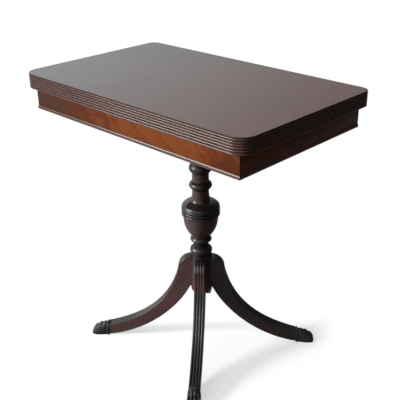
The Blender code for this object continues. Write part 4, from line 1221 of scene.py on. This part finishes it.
def leg_sections(legs):
    """The leg's sections from the top of its shoulder to its toe cap, in its own frame with X outwards."""
    drum_low, drum_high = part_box("drum")
    drum_radius = (drum_high.x - drum_low.x) / 2
    seat = drum_radius + FIT
    leg_top = drum_high.z - legs.top_drop
    shoulder = Vector((drum_radius + legs.shoulder_reach, leg_top - legs.shoulder_drop))
    crotch = Vector((seat, drum_low.z + legs.crotch_rise))
    upper_ends = (shoulder, Vector((legs.end, legs.end_top)))
    lower_ends = (crotch, Vector((legs.end, legs.end_underside)))
    inner_top = leg_top - legs.shoulder_drop * INNER_DROP
    sections = []
    for part in reversed(even(1.0, SHOULDER_STATIONS)[1:]):
        swing = math.pi / 2 * part
        back = Vector((legs.shoulder_round * (math.cos(swing) - 1), legs.shoulder_drop * math.sin(swing)))
        inner = Vector((seat, crotch.y + (inner_top - crotch.y) * part))
        reed = legs.reed_depth * (1 - part**2)
        sections.append(leg_section(legs, seat, shoulder + back, inner, reed, 1, part**2))
    for part in even(1.0, LEG_STATIONS):
        upper = sweep(upper_ends, UPPER_HANDLES, part)
        lower = sweep(lower_ends, LOWER_HANDLES, part)
        sections.append(leg_section(legs, seat, upper, lower, legs.reed_depth, 0 if part else 1))
    return sections


def wear_leg(leg, legs, name):
    """Paint light on a leg's sides, fade the reeds beside the drum, and darken a side leg's reeds with
    painted shade.
    """
    faded = leg.verts.layers.float.new("faded")
    dirt = leg.verts.layers.float["dirt"]
    drum_middle = middle_of("drum").z
    shade_on_reeds = REED_SHADE if name in SHADED_REED_LEGS else 0.0
    for vert in leg.verts:
        if abs(vert.co.y) > legs.width / 2 - WELD:
            # Painted light on the leg's sides: strong on the left leg, faint on the right
            vert[faded] = LEGS_PAINTED_LIGHT.get(name, 0.0)
            continue
        near_drum = max(0.0, 1 - abs(vert.co.z - drum_middle) / REED_FADED_BAND)
        above_toe = min(1.0, (vert.co.z - legs.end_top) / REED_SHADE_RISE)
        vert[faded] = REED_FADED * near_drum
        # Painted shade and duller polish on the side legs' reeds
        vert[dirt] = max(vert[dirt], shade_on_reeds * above_toe)


def leg_turn(legs, quarter):
    """The turn of the leg so many quarters from the front one."""
    return legs.turn + math.tau * quarter / len(SIDE_NAMES)


def set_round(bm, turn):
    """Turn a bmesh from a leg's own frame and move it to the column's axis."""
    return placed(bm, Matrix.Rotation(turn, 3, "Z"), COLUMN_AXIS)


class GAMETABLE_OT_legs(bpy.types.Operator):
    """Make the four reeded sabre legs"""

    bl_idname = "game_table.legs"
    bl_label = "Legs"

    def execute(self, context):
        table = context.scene.game_table
        wood = painted(polished_base, table.finishes)
        for quarter, name in enumerate(SIDE_NAMES):
            turn = leg_turn(table.legs, quarter)
            leg = drawn_through(leg_sections(table.legs), "dirt")
            wear_leg(leg, table.legs, name)
            stand_for(f"leg_{name}", set_round(leg, turn), wood, (math.cos(turn), math.sin(turn), -1))
        return {"FINISHED"}


# Along a toe cap: share of the length, of the width, of the height, and of the furrow depth
TOE_SECTIONS = (
    (0.00, 0.90, 0.95, 0.0),
    (0.02, 0.96, 1.00, 0.0),
    (0.09, 0.96, 0.99, 0.0),
    (0.12, 0.86, 0.89, 0.0),
    (0.28, 0.91, 0.90, 0.3),
    (0.45, 0.98, 0.84, 0.8),
    (0.63, 1.00, 0.73, 1.0),
    (0.80, 0.97, 0.58, 1.0),
    (0.92, 0.88, 0.43, 1.0),
    (1.00, 0.66, 0.24, 0.6),
)
TOE_STATIONS = 60
TOE_STEPS = 72
FURROW_POWER = 1.5
# Where the collar ends along the cap, and how rubbed the collar is
COLLAR_END = 0.12
COLLAR_RUB = 0.8


def toe_share(along):
    """Width, height and furrow shares at a share of the cap's length."""
    for first, last in zip(TOE_SECTIONS, TOE_SECTIONS[1:]):
        if along <= last[0]:
            part = (along - first[0]) / (last[0] - first[0])
            return [a + (b - a) * part for a, b in zip(first[1:], last[1:])]
    return TOE_SECTIONS[-1][1:]


def toe_sections(legs, toes):
    """The cast paw's sections with how rubbed each point is: a raised collar, then knuckled toes."""
    start = legs.end + FIT
    reach = toes.cap_length - FIT
    full_height = legs.end_top + toes.lip_top
    full_half = legs.width / 2 + toes.lip_side
    sections = []
    for along in even(1.0, TOE_STATIONS):
        width, height, furrow = toe_share(along)
        past_collar = max(0.0, along - COLLAR_END) / (1 - COLLAR_END)
        swell = math.sqrt(abs(math.sin(math.pi * toes.knuckles * past_collar)))
        section = []
        for swing in even(math.pi, TOE_STEPS):
            across = math.copysign(abs(math.cos(swing)) ** toes.boxiness, math.cos(swing))
            crease = abs(math.cos(math.pi * toes.toes * (across + 1) / 2)) ** FURROW_POWER
            dip = furrow * (toes.furrow * crease + toes.knuckle * (1 - swell) * (1 - crease))
            y = full_half * width * across
            z = full_height * height * math.sin(swing) ** toes.boxiness
            rub = (1 - crease) * swell if past_collar else COLLAR_RUB
            section.append(((start + reach * along, y, max(0.0, z * (1 - dip))), rub * math.sin(swing)))
        sections.append(section)
    return sections


class GAMETABLE_OT_toes(bpy.types.Operator):
    """Make the cast toe caps and their screws"""

    bl_idname = "game_table.toes"
    bl_label = "Toe caps"

    def execute(self, context):
        table = context.scene.game_table
        bronze = painted(patinated_bronze, table.finishes)
        iron = painted(dark_iron, table.finishes)
        for quarter, name in enumerate(SIDE_NAMES):
            cap = drawn_through(toe_sections(table.legs, table.toes), "rub")
            stand_for(f"toe_cap_{name}", set_round(cap, leg_turn(table.legs, quarter)), bronze)
            set_screw(table.top, f"toe_screw_{name}", iron)
        return {"FINISHED"}


# Level directions from the table: to the window on the camera's left, and away from the camera
WINDOW_WAY = (-0.72, -0.69, 0)
BACK_WAY = (-0.69, 0.72, 0)
FLOOR_RADIUS = 20
BACKDROP_RADIUS = 21
FLOOR_STEPS = 96
BACKDROP_DIVISIONS = 4


def studio_sky(stage):
    """World light that is bright on the window side and above, and dim on the far side and below."""
    world = bpy.data.worlds.new("studio_sky")
    bpy.context.scene.world = world
    tree = ShaderTree(world)
    way = tree.node("ShaderNodeTexCoord", output="Generated")
    toward = tree.along(way, WINDOW_WAY)
    behind = tree.along(way, BACK_WAY)
    above = tree.mix(tree.ease(toward, -0.6, 0.45), stage.sky_dim, stage.sky_bright)
    window_part = tree.ease(toward, -0.2, 0.3) * 0.3 + tree.ease(toward, 0.35, 0.9) * 0.7
    below = tree.mix(window_part, stage.sky_dim, stage.sky_bright)
    below = tree.mix(tree.ease(behind, 0.25, 0.9) * 0.2, below, stage.sky_bright)
    rise = tree.ease(tree.part(way, "Z"), 0.0, 0.25)
    sockets = {"Color": tree.mix(rise, below, above), "Strength": 0.78 + 0.38 * rise}
    tree.output(tree.node("ShaderNodeBackground", None, sockets), "ShaderNodeOutputWorld")


def pale_floor(tree, stage):
    """White floor that keeps the soft shade in front of the feet, and is even white further off."""
    place = tree.place()
    behind = tree.ease(tree.along(place, BACK_WAY), 0.0, 0.07)
    beside = tree.ease(abs(tree.along(place, WINDOW_WAY)), 0.31, 0.41)
    facing = tree.node("ShaderNodeCombineXYZ", None, dict(zip("XYZ", Vector(stage.key_from).normalized())))
    tone = Vector.Fill(3, stage.floor_tone)
    shade = tree.node("ShaderNodeBsdfDiffuse", None, {"Color": tone, "Normal": facing})
    near = tree.node("ShaderNodeAddShader", None, {0: shade, 1: tree.white_glow(stage.floor_lift)})
    ends = {0: tree.math("MAXIMUM", behind, beside), 1: near, 2: tree.white_glow(1.0)}
    tree.output(tree.node("ShaderNodeMixShader", None, ends))


def white_backdrop(tree, _stage):
    """Even white beyond the floor's edge."""
    tree.output(tree.white_glow(1.0))


def stage_object(name, bm, material):
    """A floor or backdrop that the camera sees and that puts no light on the table."""
    item = new_object(name, bm, material)
    item.visible_diffuse = False
    item.visible_glossy = False
    item.visible_shadow = False


class GAMETABLE_OT_stage(bpy.types.Operator):
    """Make the floor, backdrop, light and camera"""

    bl_idname = "game_table.stage"
    bl_label = "Stage"

    def execute(self, context):
        scene = context.scene
        stage = scene.game_table.stage
        scene.view_settings.view_transform = "Standard"
        floor = bmesh.new()
        bmesh.ops.create_circle(floor, cap_ends=True, segments=FLOOR_STEPS, radius=FLOOR_RADIUS)
        stage_object("floor", floor, painted(pale_floor, stage))
        backdrop = bmesh.new()
        bmesh.ops.create_icosphere(backdrop, subdivisions=BACKDROP_DIVISIONS, radius=BACKDROP_RADIUS)
        stage_object("backdrop", backdrop, painted(white_backdrop, stage))

        for name in ("key", "gloss"):
            light = bpy.data.lights.new(name, "SUN")
            light.energy = getattr(stage, f"{name}_strength")
            light.angle = getattr(stage, f"{name}_spread")
            lamp = bpy.data.objects.new(name, light)
            lamp.rotation_mode = "QUATERNION"
            lamp.rotation_quaternion = Vector(stage.key_from).to_track_quat("Z", "Y")
            lamp.visible_diffuse = name == "key"
            lamp.visible_glossy = name == "gloss"
            scene.collection.objects.link(lamp)
        studio_sky(stage)

        camera = bpy.data.objects.new("camera", bpy.data.cameras.new("camera"))
        camera.data.lens = stage.lens
        camera.location = stage.viewpoint
        sight = Vector(stage.aim) - Vector(stage.viewpoint)
        turn = sight.to_track_quat("-Z", "Y").to_matrix() @ Matrix.Rotation(stage.roll, 3, "Z")
        camera.rotation_euler = turn.to_euler()
        scene.collection.objects.link(camera)
        scene.camera = camera
        return {"FINISHED"}


MAKERS = (
    GAMETABLE_OT_leaves,
    GAMETABLE_OT_hinges,
    GAMETABLE_OT_swivel,
    GAMETABLE_OT_apron,
    GAMETABLE_OT_beads,
    GAMETABLE_OT_carcase,
    GAMETABLE_OT_column,
    GAMETABLE_OT_drum,
    GAMETABLE_OT_legs,
    GAMETABLE_OT_toes,
    GAMETABLE_OT_stage,
)


class GAMETABLE_PT_pieces(bpy.types.Panel):
    """Lists the operators that make the table's pieces"""

    bl_idname = "GAMETABLE_PT_pieces"
    bl_label = "Game Table"
    bl_space_type = "VIEW_3D"
    bl_region_type = "UI"
    bl_category = "Game Table"

    def draw(self, context):
        for maker in MAKERS:
            self.layout.operator(maker.bl_idname)


CLASSES = (
    TopSettings,
    ApronSettings,
    ColumnSettings,
    LegSettings,
    ToeSettings,
    FinishSettings,
    StageSettings,
    TableSettings,
    *MAKERS,
    GAMETABLE_PT_pieces,
)


def register():
    for cls in CLASSES:
        bpy.utils.register_class(cls)
    bpy.types.Scene.game_table = PointerProperty(type=TableSettings)


def unregister():
    del bpy.types.Scene.game_table
    for cls in reversed(CLASSES):
        bpy.utils.unregister_class(cls)


def main():
    register()
    bpy.ops.game_table.leaves()
    bpy.ops.game_table.hinges()
    bpy.ops.game_table.swivel()
    bpy.ops.game_table.apron()
    bpy.ops.game_table.beads()
    bpy.ops.game_table.carcase()
    bpy.ops.game_table.column()
    bpy.ops.game_table.drum()
    bpy.ops.game_table.legs()
    bpy.ops.game_table.toes()
    bpy.ops.game_table.stage()


if __name__ == "__main__":
    main()
